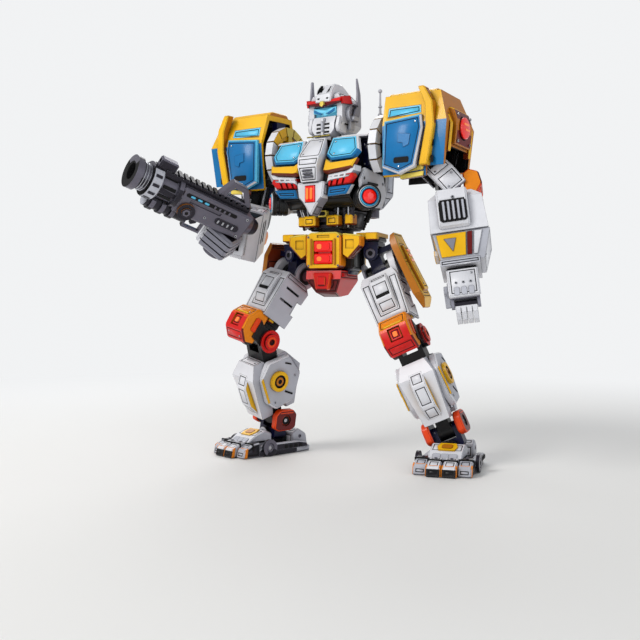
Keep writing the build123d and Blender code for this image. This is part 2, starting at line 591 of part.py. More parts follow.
def blaster_trigger():
    solid = block(-3, 3, -15.4, -11.0, -36.6, -29.6)
    solid += side_prism([(-11.2, -35), (-4, -36.5), (-3, -35), (-6, -31), (-11.2, -30)], -1.6, 1.6)
    return solid


# --- legs (origin on the joint axis; the limb runs down -Z) -----------------------------------------
def hip_yaw_block():
    solid = None
    for side in (1, -1):
        y0, y1 = (CHEEK_IN, CHEEK_OUT) if side > 0 else (-CHEEK_OUT, -CHEEK_IN)
        cheek = rod_y(y0, y1, 6.5) + block(-6.5, 6.5, y0, y1, 0, 10.6)
        solid = cheek if solid is None else solid + cheek
    solid += block(-7.5, 7.5, -CHEEK_OUT, CHEEK_OUT, 6.6, 10.6)
    solid += rod_z(10, 16.4, NECK_PIN) + rod_z(15.4, 18, 7.6)
    return solid - rod_y(-14, 14, PIN + RUN)


def hip_roll_bracket():
    """Cross block on the roll axis with the hanging skirt plate on its outer end."""
    solid = rod_y(-LUG, LUG, 6.0) + rod_y(-CHEEK_OUT, CHEEK_OUT, PIN)
    solid += block(-6, 6, -6.5, 6.5, -HIP_DROP, 0)
    solid += lug_x(7.0, -HIP_DROP)
    solid += block(5, 23, -5, 5, -3.5, 1.5)
    skirt = front_prism([(22, -8), (22, 2), (24, 7), (28, 8), (28.5, -20), (31, -58), (27, -66), (25, -66),
                         (23, -50)], -20, 18)
    skirt &= side_prism([(-14, 9), (16, 9), (18, -6), (13, -60), (8, -67), (-12, -67), (-20, -52), (-20, -4)],
                        20, 40)
    insert = front_prism([(27, -4), (30.6, -6), (33.4, -50), (29.6, -52)], -10, 7, 0.8)
    return solid + skirt + insert


def thigh_frame():
    solid = fork_x(8.0, -16.0, -9.4)
    solid += block(-8, 8, -8, 8, -58, -12, 1.0)
    solid += Pos(0, 0, -THIGH) * lug_x(7.5) + block(-LUG, LUG, -7, 7, -THIGH, -55)
    for x in (-11.5, 11.5):
        solid += rod_z(-52, -16, 2.6, x, 6)
    return solid


def thigh_armour():
    solid = taper((-16, 16, -22, 8), -54, (-18, 18, -23, 11), -14)
    solid += taper((-18, 18, -23, 11), -14, (-15, 15, -20, 6), -7)
    solid -= block(-14.4, 14.4, -14, 20, -60, 0)
    solid -= block(-20, 20, 4, 20, -40, -26)
    ridge = side_prism([(-22, -10), (-26, -16), (-27, -34), (-22, -46)], -9, 9, 1.0)
    solid += ridge
    for side in (1, -1):
        groove = block(14, 20, -16, 2, -34, -32)
        groove += block(14, 20, -16, 2, -22, -20)
        solid -= groove if side > 0 else flipped(groove)
    bridge = block(-14.4, 14.4, -14, -8, -50, -24)
    solid += bridge + rod_x(12.4, 18.6, 14) + block(12.4, 18, -14, 10, -18, 0) + rod_x(18.6, 19.8, 9)
    return solid + rod_x(-14.6, -12.4, 13)


def knee_guard():
    knee = THIGH
    profile = [(-13, -knee + 19), (-27, -knee + 20), (-35, -knee + 8), (-34, -knee - 6), (-24, -knee - 15),
               (-14, -knee - 12), (-13, -knee)]
    solid = side_prism(profile, -14, 14, 1.4)
    solid -= block(-6, 6, -40, -31.6, -knee - 4, -knee + 8)
    dome = rod_x(12.4, 17.4, 11) + rod_x(17.4, 19.4, 7.5)
    side_link = side_prism([(-13, 8), (-20, 12), (-20, -6), (-8, -9), (0, -9), (0, 9)], 12.6, 15.4)
    caps = Pos(0, 0, -knee) * both(dome + side_link)
    strap = block(8, 14, -12, -6, -knee + 16, -knee + 22)
    lens = block(-5.4, 5.4, -33.4, -30.8, -knee - 3.4, -knee + 7.4, 0.6)
    return solid + caps + both(strap) + lens


def shin_frame():
    solid = fork_x(8.5, -20.0, -11.0)
    solid += block(-8, 8, -8, 8, -74, -16, 1.0)
    solid += Pos(0, 0, -SHIN) * lug_x(7.0, pin=PIN) + block(-6, 6, -6.5, 6.5, -SHIN, -72)
    for x in (-10.5, 10.5):
        solid += rod_z(-70, -20, 2.4, x, 9)
    return solid


def shin_armour():
    front = taper((-12, 12, -21, -8), -76, (-17, 17, -27, -8), -32)
    front += taper((-17, 17, -27, -8), -32, (-12, 12, -20, -8), -19)
    ridge = side_prism([(-25, -28), (-31, -40), (-29, -60), (-20, -74)], -7, 7, 1.0)
    calf = taper((-13, 13, 8, 18), -74, (-18, 18, 8, 29), -34)
    calf += taper((-18, 18, 8, 29), -34, (-13, 13, 8, 18), -18)
    solid = front + ridge + calf
    for side in (1, -1):
        flank = side_prism([(-8, -19), (-20, -32), (-17, -58), (-8, -68), (14, -66), (27, -42), (18, -20)],
                           12.6, 20.5, 1.6)
        hub = rod_x(20.5, 23.5, 10.0, -1, -40) - rod_x(22.5, 26, 6.4, -1, -40)
        brace = block(8, 12.6, -6, 6, -56, -26)
        side_set = flank + hub + brace
        solid += side_set if side > 0 else flipped(side_set)
    for z in (-58, -50, -42):
        solid -= block(-9, 9, 19, 34, z, z + 4)
    return solid


def ankle_cross():
    cheeks = rod_x(CHEEK_IN, CHEEK_OUT, 7.0) + block(CHEEK_IN, CHEEK_OUT, -7, 7, -9, 0)
    solid = both(cheeks)
    base = [(-CHEEK_OUT, -7.5), (-CHEEK_OUT, -14), (-8, -18.6), (8, -18.6), (CHEEK_OUT, -14), (CHEEK_OUT, -7.5)]
    solid += front_prism(base, -LUG, LUG)
    solid += rod_y(-CHEEK_OUT, CHEEK_OUT, PIN, z=-ANKLE_DROP)
    box = side_prism([(-13, -4), (-13, 9), (-8, 14), (8, 14), (13, 9), (13, -4), (8, -7), (-8, -7)], 12, 19, 1.2)
    box -= rod_x(15, 21, 5.5, 0, 3.5)
    return solid + both(box) - rod_x(-14, 14, PIN + RUN)


def foot():
    sole = [(-22, 30), (22, 30), (25, 10), (26, -30), (22, -44), (-22, -44), (-26, -30), (-25, 10)]
    solid = top_prism(sole, -ANKLE_Z, -ANKLE_Z + 5.5, 1.0)
    for side in (1, -1):
        y0, y1 = (CHEEK_IN, CHEEK_OUT) if side > 0 else (-CHEEK_OUT, -CHEEK_IN)
        solid += rod_y(y0, y1, 6.5) + block(-7, 7, y0, y1, -13, 0)
    solid -= rod_y(-20, 20, PIN + RUN)
    instep = side_prism([(-12.4, -13), (-12.4, 2), (-20, 5), (-34, 0), (-46, -9), (-50, -18), (-44, -18),
                         (-40, -13)], -15, 15, 1.0)
    heel = side_prism([(12.4, -13), (12.4, 0), (20, 4), (30, -2), (33, -18), (26, -18), (26, -13)], -16, 16, 1.0)
    solid += instep + heel
    toe = side_prism([(-40, -18), (-40, -4), (-48, -5), (-58, -10), (-60, -18)], -6.2, 6.2, 1.2)
    for x, back in ((-19, 6), (-6.8, 0), (6.8, 0), (19, 6)):
        solid += Pos(x, back, 0) * toe
    for side in (1, -1):
        wall = side_prism([(-38, -14), (-30, -8), (-14, -7), (14, -7), (24, -9), (26, -14)], 19, 25, 1.0)
        disc = rod_x(25, 28, 8, -24, -9.8) - rod_x(27, 30, 4.5, -24, -9.8)
        side_set = wall + disc
        solid += side_set if side > 0 else flipped(side_set)
    return solid


# --- the pose: one frame per moving body ------------------------------------------------------------
def arm_frames(side):
    pitch, roll, twist, elbow = ARM_POSE[side]
    shoulder = TORSO * Pos(side * SHOULDER_X, 0, SHOULDER_Z)
    hub = shoulder * Rot(X=pitch)
    yoke = hub * Rot(Y=-side * roll)
    upper = yoke * Rot(Z=side * twist)
    fore = upper * Pos(0, 0, -UPPER_ARM) * Rot(X=-elbow)
    hand = fore * Pos(0, 0, -FOREARM) * Rot(Z=WRIST_TURN[side])
    return {"shoulder": hub, "yoke": yoke, "upper_arm": upper, "forearm": fore, "hand": hand}


def leg_frames(side):
    yaw, roll, forward = LEG_POSE[side]
    turned = Pos(side * HIP_X, 0, HIP_ROLL_Z) * Rot(Z=side * yaw)
    rolled = turned * Rot(Y=-side * roll)
    lean = math.radians(roll)
    ankle_z = ANKLE_Z + ANKLE_DROP * math.cos(lean)
    reach = (HIP_ROLL_Z - ankle_z) / math.cos(lean) - HIP_DROP
    span = math.hypot(reach, forward)
    bend = 180 - math.degrees(math.acos((THIGH ** 2 + SHIN ** 2 - span ** 2) / (2 * THIGH * SHIN)))
    swing = math.degrees(math.atan2(forward, reach)
                         + math.acos((THIGH ** 2 + span ** 2 - SHIN ** 2) / (2 * THIGH * span)))
    thigh = rolled * Pos(0, 0, -HIP_DROP) * Rot(X=-swing)
    shin = thigh * Pos(0, 0, -THIGH) * Rot(X=bend)
    level = shin * Pos(0, 0, -SHIN) * Rot(X=swing - bend)
    sole = level * Pos(0, 0, -ANKLE_DROP) * Rot(Y=side * roll)
    return {"hip_yaw": turned, "hip_roll": rolled, "thigh": thigh, "shin": shin, "ankle": level, "foot": sole}


TORSO = Pos(0, 0, WAIST_Z) * Rot(Z=TORSO_YAW)
HEAD = TORSO * Pos(0, NECK_Y, NECK_Z)
ARMS = {side: arm_frames(side) for side in (1, -1)}
LEGS = {side: leg_frames(side) for side in (1, -1)}
GUN = ARMS[-1]["hand"] * Pos(0, 0, -GRIP_DROP) * Rot(Y=GUN_SWIVEL)
SIDES = {1: "left", -1: "right"}

# body: (frame, {node: shape}); within a body each node is cut by the ones before it, so they seat flush
BODIES = {
    "pelvis": (Pos(0, 0, 0), {"pelvis_frame": pelvis_frame, "belt_armour": belt_armour,
                              "crotch_guard": crotch_guard}),
    "buckle": (Pos(0, 0, 0), {"buckle_button": buckle_button}),
    "torso": (TORSO, {"torso_frame": torso_frame, "battery_cells": battery_cells,
                      "sound_unit": sound_unit, "back_shell": back_shell,
                      "chest_red_lenses": chest_red_lenses, "chest_blue_panels": chest_blue_panels,
                      "chest_yellow_panels": chest_yellow_panels, "chest_shell": chest_shell,
                      "side_pods": side_pods, "collar_arches": collar_arches}),
    "door": (TORSO, {"battery_door": battery_door}),
    "switch": (TORSO, {"power_switch": power_switch}),
    "head": (HEAD, {"neck_post": neck_post, "eye_visor": eye_visor, "brow_band": brow_band,
                    "face_guard": face_guard, "helmet": helmet}),
    "fingers": (ARMS[1]["hand"], {"left_fingers": fingers}),
    "blaster": (GUN, {"blaster": blaster}),
    "trigger": (GUN, {"blaster_trigger": blaster_trigger}),
}
ARM_SETS = {
    "shoulder": {"shoulder_hub": shoulder_hub, "pauldron_trim": pauldron_trim, "pauldron": pauldron},
    "yoke": {"arm_yoke": arm_yoke},
    "upper_arm": {"upper_arm": upper_arm},
    "forearm": {"forearm_frame": forearm_frame, "forearm_armour": forearm_armour,
                "forearm_trim": forearm_trim},
}
LEG_SETS = {
    "hip_yaw": {"hip_yaw_block": hip_yaw_block},
    "hip_roll": {"hip_roll_bracket": hip_roll_bracket},
    "thigh": {"thigh_frame": thigh_frame, "thigh_armour": thigh_armour, "knee_guard": knee_guard},
    "shin": {"shin_frame": shin_frame, "shin_armour": shin_armour},
    "ankle": {"ankle_cross": ankle_cross},
    "foot": {"foot": foot},
}
SLIVER = 2.0            # cut-off crumbs smaller than this, in cubic mm, are dropped


def seat(shapes):
    """Builds one body's nodes and cuts each by the ones before it."""
    done = {}
    for name, shape in shapes.items():
        solid = shape()
        for other in done.values():
            for piece in other.solids():
                solid = solid - piece
        keep = [piece for piece in solid.solids() if piece.volume > SLIVER]
        done[name] = keep[0] if len(keep) == 1 else Compound(children=keep)
    return done


def assemble():
    """Every node in the robot's pose, before it is centred on the floor."""
    placed = {}
    body_of = {}
    for body, (frame, shapes) in BODIES.items():
        for name, solid in seat(shapes).items():
            placed[name] = frame * solid
            body_of[name] = body
    for sets, frames in ((ARM_SETS, ARMS), (LEG_SETS, LEGS)):
        for part, shapes in sets.items():
            for name, solid in seat(shapes).items():
                for side, tag in SIDES.items():
                    handed = solid if side > 0 else flipped(solid)
                    placed[f"{tag}_{name}"] = frames[side][part] * handed
                    body_of[f"{tag}_{name}"] = f"{tag}_{part}"
    for side, shape in ((1, open_hand), (-1, gun_hand)):
        solid = shape() if side > 0 else flipped(shape())
        placed[f"{SIDES[side]}_hand"] = ARMS[side]["hand"] * solid
        body_of[f"{SIDES[side]}_hand"] = f"{SIDES[side]}_hand"
    return placed, body_of


def centring(placed):
    """The shift that puts the middle of the underside of everything on the origin."""
    boxes = [solid.bounding_box() for solid in placed.values()]
    lows = [min(getattr(box.min, axis) for box in boxes) for axis in "XYZ"]
    highs = [max(getattr(box.max, axis) for box in boxes) for axis in "XYZ"]
    return Pos(-(lows[0] + highs[0]) / 2, -(lows[1] + highs[1]) / 2, -lows[2])


NODES, BODY_OF = assemble()
SHIFT = centring(NODES)
os.makedirs("parts", exist_ok=True)
for node, solid in NODES.items():
    export_step(SHIFT * solid, f"parts/{node}.step")
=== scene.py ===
import json
import math

import bmesh
import bpy
from mathutils import Matrix, Vector


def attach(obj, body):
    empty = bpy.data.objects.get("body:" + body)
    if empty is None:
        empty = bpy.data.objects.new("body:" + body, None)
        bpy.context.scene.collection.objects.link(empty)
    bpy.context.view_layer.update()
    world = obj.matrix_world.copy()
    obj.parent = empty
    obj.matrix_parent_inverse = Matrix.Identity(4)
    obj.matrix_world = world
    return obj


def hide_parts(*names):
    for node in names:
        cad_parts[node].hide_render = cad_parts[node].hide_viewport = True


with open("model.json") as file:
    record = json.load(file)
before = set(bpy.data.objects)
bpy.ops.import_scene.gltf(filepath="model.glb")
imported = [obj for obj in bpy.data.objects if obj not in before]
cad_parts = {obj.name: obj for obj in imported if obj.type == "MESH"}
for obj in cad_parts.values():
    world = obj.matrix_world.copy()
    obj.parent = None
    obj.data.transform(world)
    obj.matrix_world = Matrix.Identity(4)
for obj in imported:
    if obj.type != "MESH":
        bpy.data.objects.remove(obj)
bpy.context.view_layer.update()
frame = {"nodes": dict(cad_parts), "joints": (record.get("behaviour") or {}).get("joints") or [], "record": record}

MM = 0.001
JOINTS = {joint["name"]: joint for joint in frame["joints"]}
NODE_BODY = {node: body for body, nodes in frame["record"]["behaviour"]["bodies"].items() for node in nodes}
SIDES = {"left": 1, "right": -1}


# --- where each body is: its own millimetres, x out to the side, y back, z up, mirrored on the right ----
def spot(joint):
    return Vector(JOINTS[joint]["pos_m"])


def line(joint, sign=1):
    return Vector(JOINTS[joint]["axis"]) * sign


def place(origin, x=None, y=None, z=None, side=1):
    """The matrix from a body's own millimetres to the frame, from its origin and two of its axes."""
    if x is None:
        x = y.cross(z)
    if y is None:
        y = z.cross(x)
    if z is None:
        z = x.cross(y)
    turn = Matrix((x, y, z)).transposed().to_4x4()
    return Matrix.Translation(origin) @ turn @ Matrix.Diagonal((side * MM, MM, MM, 1))


def find_places():
    up = Vector((0, 0, 1))
    across = line("left_shoulder_pitch", -1)
    waist = spot("waist_yaw")
    floor_middle = Vector((waist.x, waist.y, 0))
    found = {"pelvis": place(floor_middle, x=Vector((1, 0, 0)), z=up), "torso": place(waist, x=across, z=up),
             "head": place(spot("neck_yaw"), x=across, z=up)}
    found["buckle"] = found["pelvis"]
    found["door"] = found["switch"] = found["torso"]
    for name, side in SIDES.items():
        def at(joint):
            return spot(f"{name}_{joint}")

        def axis(joint, sign=1):
            return line(f"{name}_{joint}", sign)

        roll = axis("shoulder_roll", -side)
        twist = axis("arm_twist", side)
        elbow = axis("elbow", -side)
        wrist = axis("wrist", side)
        grip = line("left_finger_curl") if side > 0 else line("blaster_swivel")
        shoulder = at("shoulder_pitch")
        found[f"{name}_shoulder"] = place(shoulder, x=axis("shoulder_pitch", -1), y=roll, side=side)
        found[f"{name}_yoke"] = place(shoulder, y=roll, z=twist, side=side)
        found[f"{name}_upper_arm"] = place(shoulder, x=elbow, z=twist, side=side)
        found[f"{name}_forearm"] = place(at("elbow"), x=elbow, z=wrist, side=side)
        found[f"{name}_hand"] = place(at("wrist"), y=grip, z=wrist, side=side)
        hip = at("hip_pitch")
        knee = at("knee")
        ankle = at("ankle_pitch")
        pitch = axis("hip_pitch", -1)
        hip_roll = axis("hip_roll", -side)
        found[f"{name}_hip_yaw"] = place(at("hip_yaw"), y=hip_roll, z=up, side=side)
        found[f"{name}_hip_roll"] = place(at("hip_yaw"), x=pitch, y=hip_roll, side=side)
        found[f"{name}_thigh"] = place(hip, x=pitch, z=(hip - knee).normalized(), side=side)
        found[f"{name}_shin"] = place(knee, x=pitch, z=(knee - ankle).normalized(), side=side)
        found[f"{name}_ankle"] = place(ankle, x=pitch, z=(ankle - at("ankle_roll")).normalized(), side=side)
        found[f"{name}_foot"] = place(at("ankle_roll"), y=axis("ankle_roll", side), z=up, side=side)
    found["fingers"] = found["left_hand"]
    muzzle_line = line("blaster_trigger_pull")
    found["blaster"] = place(spot("blaster_swivel"), y=line("blaster_swivel"), z=muzzle_line)
    found["trigger"] = found["blaster"]
    return found


PLACES = find_places()

# --- camera, floor and light ----------------------------------------------------------------------------
AZIMUTH = math.radians(20)
ELEVATION = math.radians(-2)
DISTANCE = 0.85
LENS = 50.2
AIM_HEIGHT = 0.175
FRAMING = (-0.0150, -0.045)     # how far the view's middle is from the aim point, to the right and up


def make_camera():
    waist = spot("waist_yaw")
    aim = Vector((waist.x, waist.y, AIM_HEIGHT))
    back = Vector((math.sin(AZIMUTH) * math.cos(ELEVATION), -math.cos(AZIMUTH) * math.cos(ELEVATION),
                   math.sin(ELEVATION)))
    right = Vector((math.cos(AZIMUTH), math.sin(AZIMUTH), 0))
    up = back.cross(right)
    eye = aim + back * DISTANCE
    look = aim + right * FRAMING[0] + up * FRAMING[1]
    camera = bpy.data.objects.new("camera", bpy.data.cameras.new("camera"))
    camera.data.lens = LENS
    camera.data.sensor_width = 36.0
    camera.data.clip_start = 0.01
    camera.location = eye
    camera.rotation_euler = (look - eye).to_track_quat("-Z", "Y").to_euler()
    bpy.context.scene.collection.objects.link(camera)
    bpy.context.scene.camera = camera


def feed(socket, value):
    """Fills in a node's input with a value, or links it to another node's output."""
    if isinstance(value, bpy.types.NodeSocket):
        socket.id_data.links.new(value, socket)
    else:
        socket.default_value = value


def fill(node, inputs):
    for name, value in inputs.items():
        feed(node.inputs[name], value)


def add_node(tree, kind, inputs=None, **settings):
    """A new shader node with some of its inputs and settings filled in."""
    node = tree.nodes.new(f"ShaderNode{kind}")
    for name, value in settings.items():
        setattr(node, name, value)
    fill(node, inputs or {})
    return node


AMBIENT = 0.5
ROOM_COLOUR = (0.93, 0.94, 0.95, 1)
ROOM_BRIGHTNESS = 0.95
FLOOR_RADIUS = 30.0
FLOOR_DROP = 0.0002
FADE_START = 0.3
FADE_END = 1.1


def floor_paper():
    """Pale paper that fades into the pale room further out."""
    material = bpy.data.materials.new("floor_paper")
    material.use_nodes = True
    tree = material.node_tree
    noise = add_node(tree, "TexNoise", {"Scale": 3.0})
    ramp = add_node(tree, "ValToRGB", {"Fac": noise.outputs["Fac"]})
    ramp.color_ramp.elements[0].color = (0.80, 0.80, 0.79, 1)
    ramp.color_ramp.elements[1].color = (0.86, 0.86, 0.85, 1)
    shader = tree.nodes["Principled BSDF"]
    fill(shader, {"Base Color": ramp.outputs["Color"], "Roughness": 0.7})
    place_on = add_node(tree, "TexCoord").outputs["Object"]
    reach = add_node(tree, "VectorMath", {0: place_on}, operation="LENGTH")
    limits = {"Value": reach.outputs["Value"], "From Min": FADE_START, "From Max": FADE_END}
    fade = add_node(tree, "MapRange", limits, interpolation_type="SMOOTHSTEP")
    room = add_node(tree, "Emission", {"Color": ROOM_COLOUR, "Strength": ROOM_BRIGHTNESS})
    blend = add_node(tree, "MixShader", {"Fac": fade.outputs["Result"], 1: shader.outputs["BSDF"],
                                         2: room.outputs["Emission"]})
    fill(tree.nodes["Material Output"], {"Surface": blend.outputs["Shader"]})
    return material


def make_room():
    """Bright to the camera, softer as a light."""
    world = bpy.data.worlds.new("studio")
    world.use_nodes = True
    tree = world.node_tree
    seen = add_node(tree, "LightPath").outputs["Is Camera Ray"]
    strength = add_node(tree, "MapRange", {"Value": seen, "To Min": AMBIENT, "To Max": ROOM_BRIGHTNESS})
    fill(tree.nodes["Background"], {"Color": ROOM_COLOUR, "Strength": strength.outputs["Result"]})
    bpy.context.scene.world = world
    bpy.context.scene.view_settings.view_transform = "Standard"


def make_stage():
    mesh = bmesh.new()
    bmesh.ops.create_circle(mesh, cap_ends=True, segments=64, radius=FLOOR_RADIUS)
    data = bpy.data.meshes.new("floor")
    mesh.to_mesh(data)
    mesh.free()
    floor = bpy.data.objects.new("floor", data)
    floor.location.z = -FLOOR_DROP
    bpy.context.scene.collection.objects.link(floor)
    data.materials.append(floor_paper())
    make_room()


def make_light(name, location, size, power, tint):
    lamp = bpy.data.lights.new(name, "AREA")
    lamp.shape = "DISK"
    lamp.size = size
    lamp.energy = power
    lamp.color = tint
    light = bpy.data.objects.new(name, lamp)
    light.location = location
    aim = Vector((0, 0, 0.18))
    light.rotation_euler = (aim - light.location).to_track_quat("-Z", "Y").to_euler()
    bpy.context.scene.collection.objects.link(light)


make_camera()
make_stage()
make_light("key", (-0.75, -1.05, 1.15), 0.7, 14.0, (1.0, 0.98, 0.95))
make_light("fill", (1.3, -0.8, 0.6), 1.0, 3.0, (0.93, 0.96, 1.0))
make_light("rim", (-0.35, 1.25, 1.1), 0.8, 5.0, (1.0, 1.0, 1.0))
make_light("rear_fill", (-1.1, 1.0, 0.5), 0.9, 4.0, (0.97, 0.98, 1.0))


# --- materials ------------------------------------------------------------------------------------------
def linear(colour):
    return tuple(c / 12.92 if c <= 0.04045 else ((c + 0.055) / 1.055) ** 2.4 for c in colour) + (1.0,)


def shade(colour, factor):
    return tuple(min(1.0, c * factor) for c in colour[:3]) + (1.0,)


BROAD_SCALE = 38.0
GRAIN_SCALE = 900.0
GRAIN_HEIGHT = 0.0002
# colour of the painted shade in corners, and how far from a corner it reaches
PAINTED_SHADE = (0.10, 0.09, 0.11, 1)
PAINTED_SHADE_REACH = 0.006
EDGE_RADIUS = 0.0006
RUBBED_BLACK = (0.16, 0.17, 0.2, 1)


def paint(name, colour, rough=0.4, metal=0.0, coat=0.15, wear=0.5, bump=0.12, painted_glow=0.0, streak=False,
          inked=False):
    """Moulded plastic: slow tone changes, fine grain, painted shade in the corners, inked or rubbed edges."""
    material = bpy.data.materials.new(name)
    material.use_nodes = True
    tree = material.node_tree
    base = linear(colour)
    place_on = add_node(tree, "TexCoord").outputs["Object"]
    mapping = add_node(tree, "Mapping", {"Vector": place_on, "Scale": (1, 1, 0.12 if streak else 1)})

    def noise(scale, detail):
        inputs = {"Vector": mapping.outputs["Vector"], "Scale": scale, "Detail": detail}
        return add_node(tree, "TexNoise", inputs).outputs["Fac"]

    def remap(value, from_min, from_max, to_min, to_max):
        inputs = {"Value": value, "From Min": from_min, "From Max": from_max, "To Min": to_min,
                  "To Max": to_max}
        return add_node(tree, "MapRange", inputs).outputs["Result"]

    def mix(kind, factor, first, second):
        node = add_node(tree, "Mix", data_type="RGBA", blend_type=kind)
        feeds = {("Factor", "VALUE"): factor, ("A", "RGBA"): first, ("B", "RGBA"): second}
        for socket in node.inputs:
            if (socket.name, socket.type) in feeds:
                feed(socket, feeds[socket.name, socket.type])
        return next(o for o in node.outputs if o.type == "RGBA")

    broad = noise(BROAD_SCALE, 3.0)
    tone = add_node(tree, "ValToRGB", {"Fac": broad})
    for element, position, factor in zip(tone.color_ramp.elements, (0.3, 0.7), (0.86, 1.04)):
        element.position = position
        element.color = shade(base, factor)
    # painted shade: darker where faces meet, from an occlusion mask
    occlusion = add_node(tree, "AmbientOcclusion", {"Distance": PAINTED_SHADE_REACH}, samples=4)
    shade_amount = remap(occlusion.outputs["AO"], 0.25, 0.85, 0.75, 0.0)
    shaded_tone = mix("MULTIPLY", shade_amount, tone.outputs["Color"], PAINTED_SHADE)
    # an edge is where the rounded normal leaves the true one
    rounded = add_node(tree, "Bevel", {"Radius": EDGE_RADIUS}, samples=4).outputs["Normal"]
    true = add_node(tree, "NewGeometry").outputs["Normal"]
    dot = add_node(tree, "VectorMath", {0: rounded, 1: true}, operation="DOT_PRODUCT")
    edge = remap(dot.outputs["Value"], 0.985, 0.93, 0.0, wear)
    patches = add_node(tree, "Math", {0: edge, 1: edge if inked else broad}, operation="MULTIPLY")
    rubbed = shade(base, 1.6) if max(base[:3]) > 0.1 else RUBBED_BLACK
    worn = mix("MIX", patches.outputs["Value"], shaded_tone, shade(base, 0.10) if inked else rubbed)
    relief = add_node(tree, "Bump", {"Strength": bump, "Distance": GRAIN_HEIGHT,
                                     "Height": noise(GRAIN_SCALE, 2.0)})
    shader = tree.nodes["Principled BSDF"]
    fill(shader, {"Base Color": worn, "Normal": relief.outputs["Normal"], "Metallic": metal,
                  "Roughness": remap(broad, 0, 1, max(0.05, rough - 0.08), rough + 0.12),
                  "Coat Weight": coat, "Coat Roughness": 0.16, "Specular IOR Level": 0.3})
    # painted light: the surface gives off light of its own colour though no lamp is in it
    if painted_glow:
        fill(shader, {"Emission Color": base, "Emission Strength": painted_glow})
    return material


def armour(name, colour):
    """Coloured plastic whose edges are drawn in dark ink."""
    return paint(f"armour_{name}", colour, rough=0.36, wear=0.95, inked=True)


# light_yellow, gold and brown, flame and maroon, sky, and pale and grey are their own colours on some parts, and
# on others lighter and darker copies of yellow, red, blue and white that the picks below lay on faces by the way
# they face: painted highlight and painted shade
PAINTS = {
    "white": armour("white", (0.89, 0.895, 0.92)),
    "pale": armour("pale_grey", (0.74, 0.75, 0.79)),
    "grey": armour("grey", (0.55, 0.55, 0.6)),
    "yellow": armour("yellow", (0.97, 0.74, 0.03)),
    "light_yellow": armour("light_yellow", (0.96, 0.86, 0.38)),
    "orange": armour("orange", (0.97, 0.56, 0.03)),
    "gold": armour("gold_brown", (0.76, 0.46, 0.04)),
    "brown": armour("brown", (0.46, 0.15, 0.03)),
    "red": armour("red", (0.87, 0.05, 0.03)),
    "flame": armour("flame", (0.96, 0.28, 0.03)),
    "maroon": armour("maroon", (0.42, 0.0, 0.01)),
    "blue": armour("blue", (0.0, 0.45, 0.7)),
    "sky": armour("sky_blue", (0.36, 0.78, 0.94)),
    "navy": paint("frame_navy", (0.03, 0.05, 0.22), rough=0.36, wear=0.6),
    "black": paint("frame_black", (0.03, 0.03, 0.045), rough=0.38, wear=0.6, bump=0.2),
    "rubber": paint("rubber_black", (0.04, 0.04, 0.045), rough=0.62, coat=0.0, wear=0.2, bump=0.35),
    "ink": paint("panel_line", (0.03, 0.03, 0.04), rough=0.7, coat=0.0, wear=0.0),
    "gun": paint("gunmetal", (0.42, 0.41, 0.46), rough=0.32, metal=0.55, wear=0.8, bump=0.16),
    "gun_dark": paint("gunmetal_dark", (0.16, 0.15, 0.19), rough=0.36, metal=0.5, wear=0.8, bump=0.16),
    "steel": paint("steel", (0.72, 0.73, 0.76), rough=0.22, metal=0.95, wear=0.3, coat=0.0, streak=True),
    # the red lenses, the orange bars, and the blue visor and belt windows give off painted light; no lamp is in
    # them
    "lens": paint("lens_red", (0.93, 0.06, 0.02), rough=0.08, coat=1.0, wear=0.0, bump=0.0, painted_glow=0.25),
    "ember": paint("lens_orange_painted_light", (1.0, 0.5, 0.2), rough=0.08, coat=1.0, wear=0.0, bump=0.0, painted_glow=0.35),
    "glass": paint("lens_blue", (0.42, 0.80, 0.93), rough=0.08, coat=1.0, wear=0.0, bump=0.0, painted_glow=0.3),
    "cell": paint("cell_sleeve", (0.12, 0.2, 0.16), rough=0.3, metal=0.3),
    "board": paint("solder_mask", (0.02, 0.26, 0.12), rough=0.35),
}


# --- turning a millimetre mesh into a piece of the robot --------------------------------------------------
def settle(mesh, names, paints, name, body):
    """Moves a mesh from its body's own millimetres to the frame and makes it a piece on that body."""
    bmesh.ops.transform(mesh, matrix=PLACES[body], verts=mesh.verts)
    if PLACES[body].determinant() < 0:
        bmesh.ops.reverse_faces(mesh, faces=mesh.faces)
    data = bpy.data.meshes.new(name)
    mesh.to_mesh(data)
    mesh.free()
    for key in paints:
        data.materials.append(PAINTS[key])
    piece = bpy.data.objects.new(name, data)
    bpy.context.scene.collection.objects.link(piece)
    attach(piece, body)
    if names:
        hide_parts(*names)
    return piece


SHARP_ANGLE = math.radians(28)


def smooth_by_angle(mesh):
    for face in mesh.faces:
        face.smooth = True
    for edge in mesh.edges:
        if len(edge.link_faces) == 2 and edge.calc_face_angle(0.0) > SHARP_ANGLE:
            edge.smooth = False


# --- panel lines ------------------------------------------------------------------------------------------
LINE_BORDER = 1.3       # from the edge of a face to its panel line
LINE_WIDTH = 0.8
LINE_DEPTH = 0.5


def offset_loop(corners, normal, distance):
    """The corners moved inward by distance, or None where the face is too narrow for it."""
    count = len(corners)
    moved = []
    for i, corner in enumerate(corners):
        before = (corner - corners[i - 1]).normalized()
        after = (corners[(i + 1) % count] - corner).normalized()
        bisector = normal.cross(before) + normal.cross(after)
        if bisector.length < 0.5:
            return None
        bisector.normalize()
        moved.append(corner + bisector * (distance / bisector.dot(normal.cross(after))))
    for i in range(count):
        old = corners[(i + 1) % count] - corners[i]
        new = moved[(i + 1) % count] - moved[i]
        if new.dot(old) < 0.15 * old.length_squared:
            return None
        for j in range(count):
            start = corners[j]
            run = corners[(j + 1) % count] - start
            share = max(0.0, min(1.0, (moved[i] - start).dot(run) / run.length_squared))
            if (moved[i] - start - run * share).length < 0.93 * distance:
                return None
    return moved


def clear_of_short_edges(corners):
    return min((corners[i] - corners[i - 1]).length for i in range(len(corners))) > 0.8


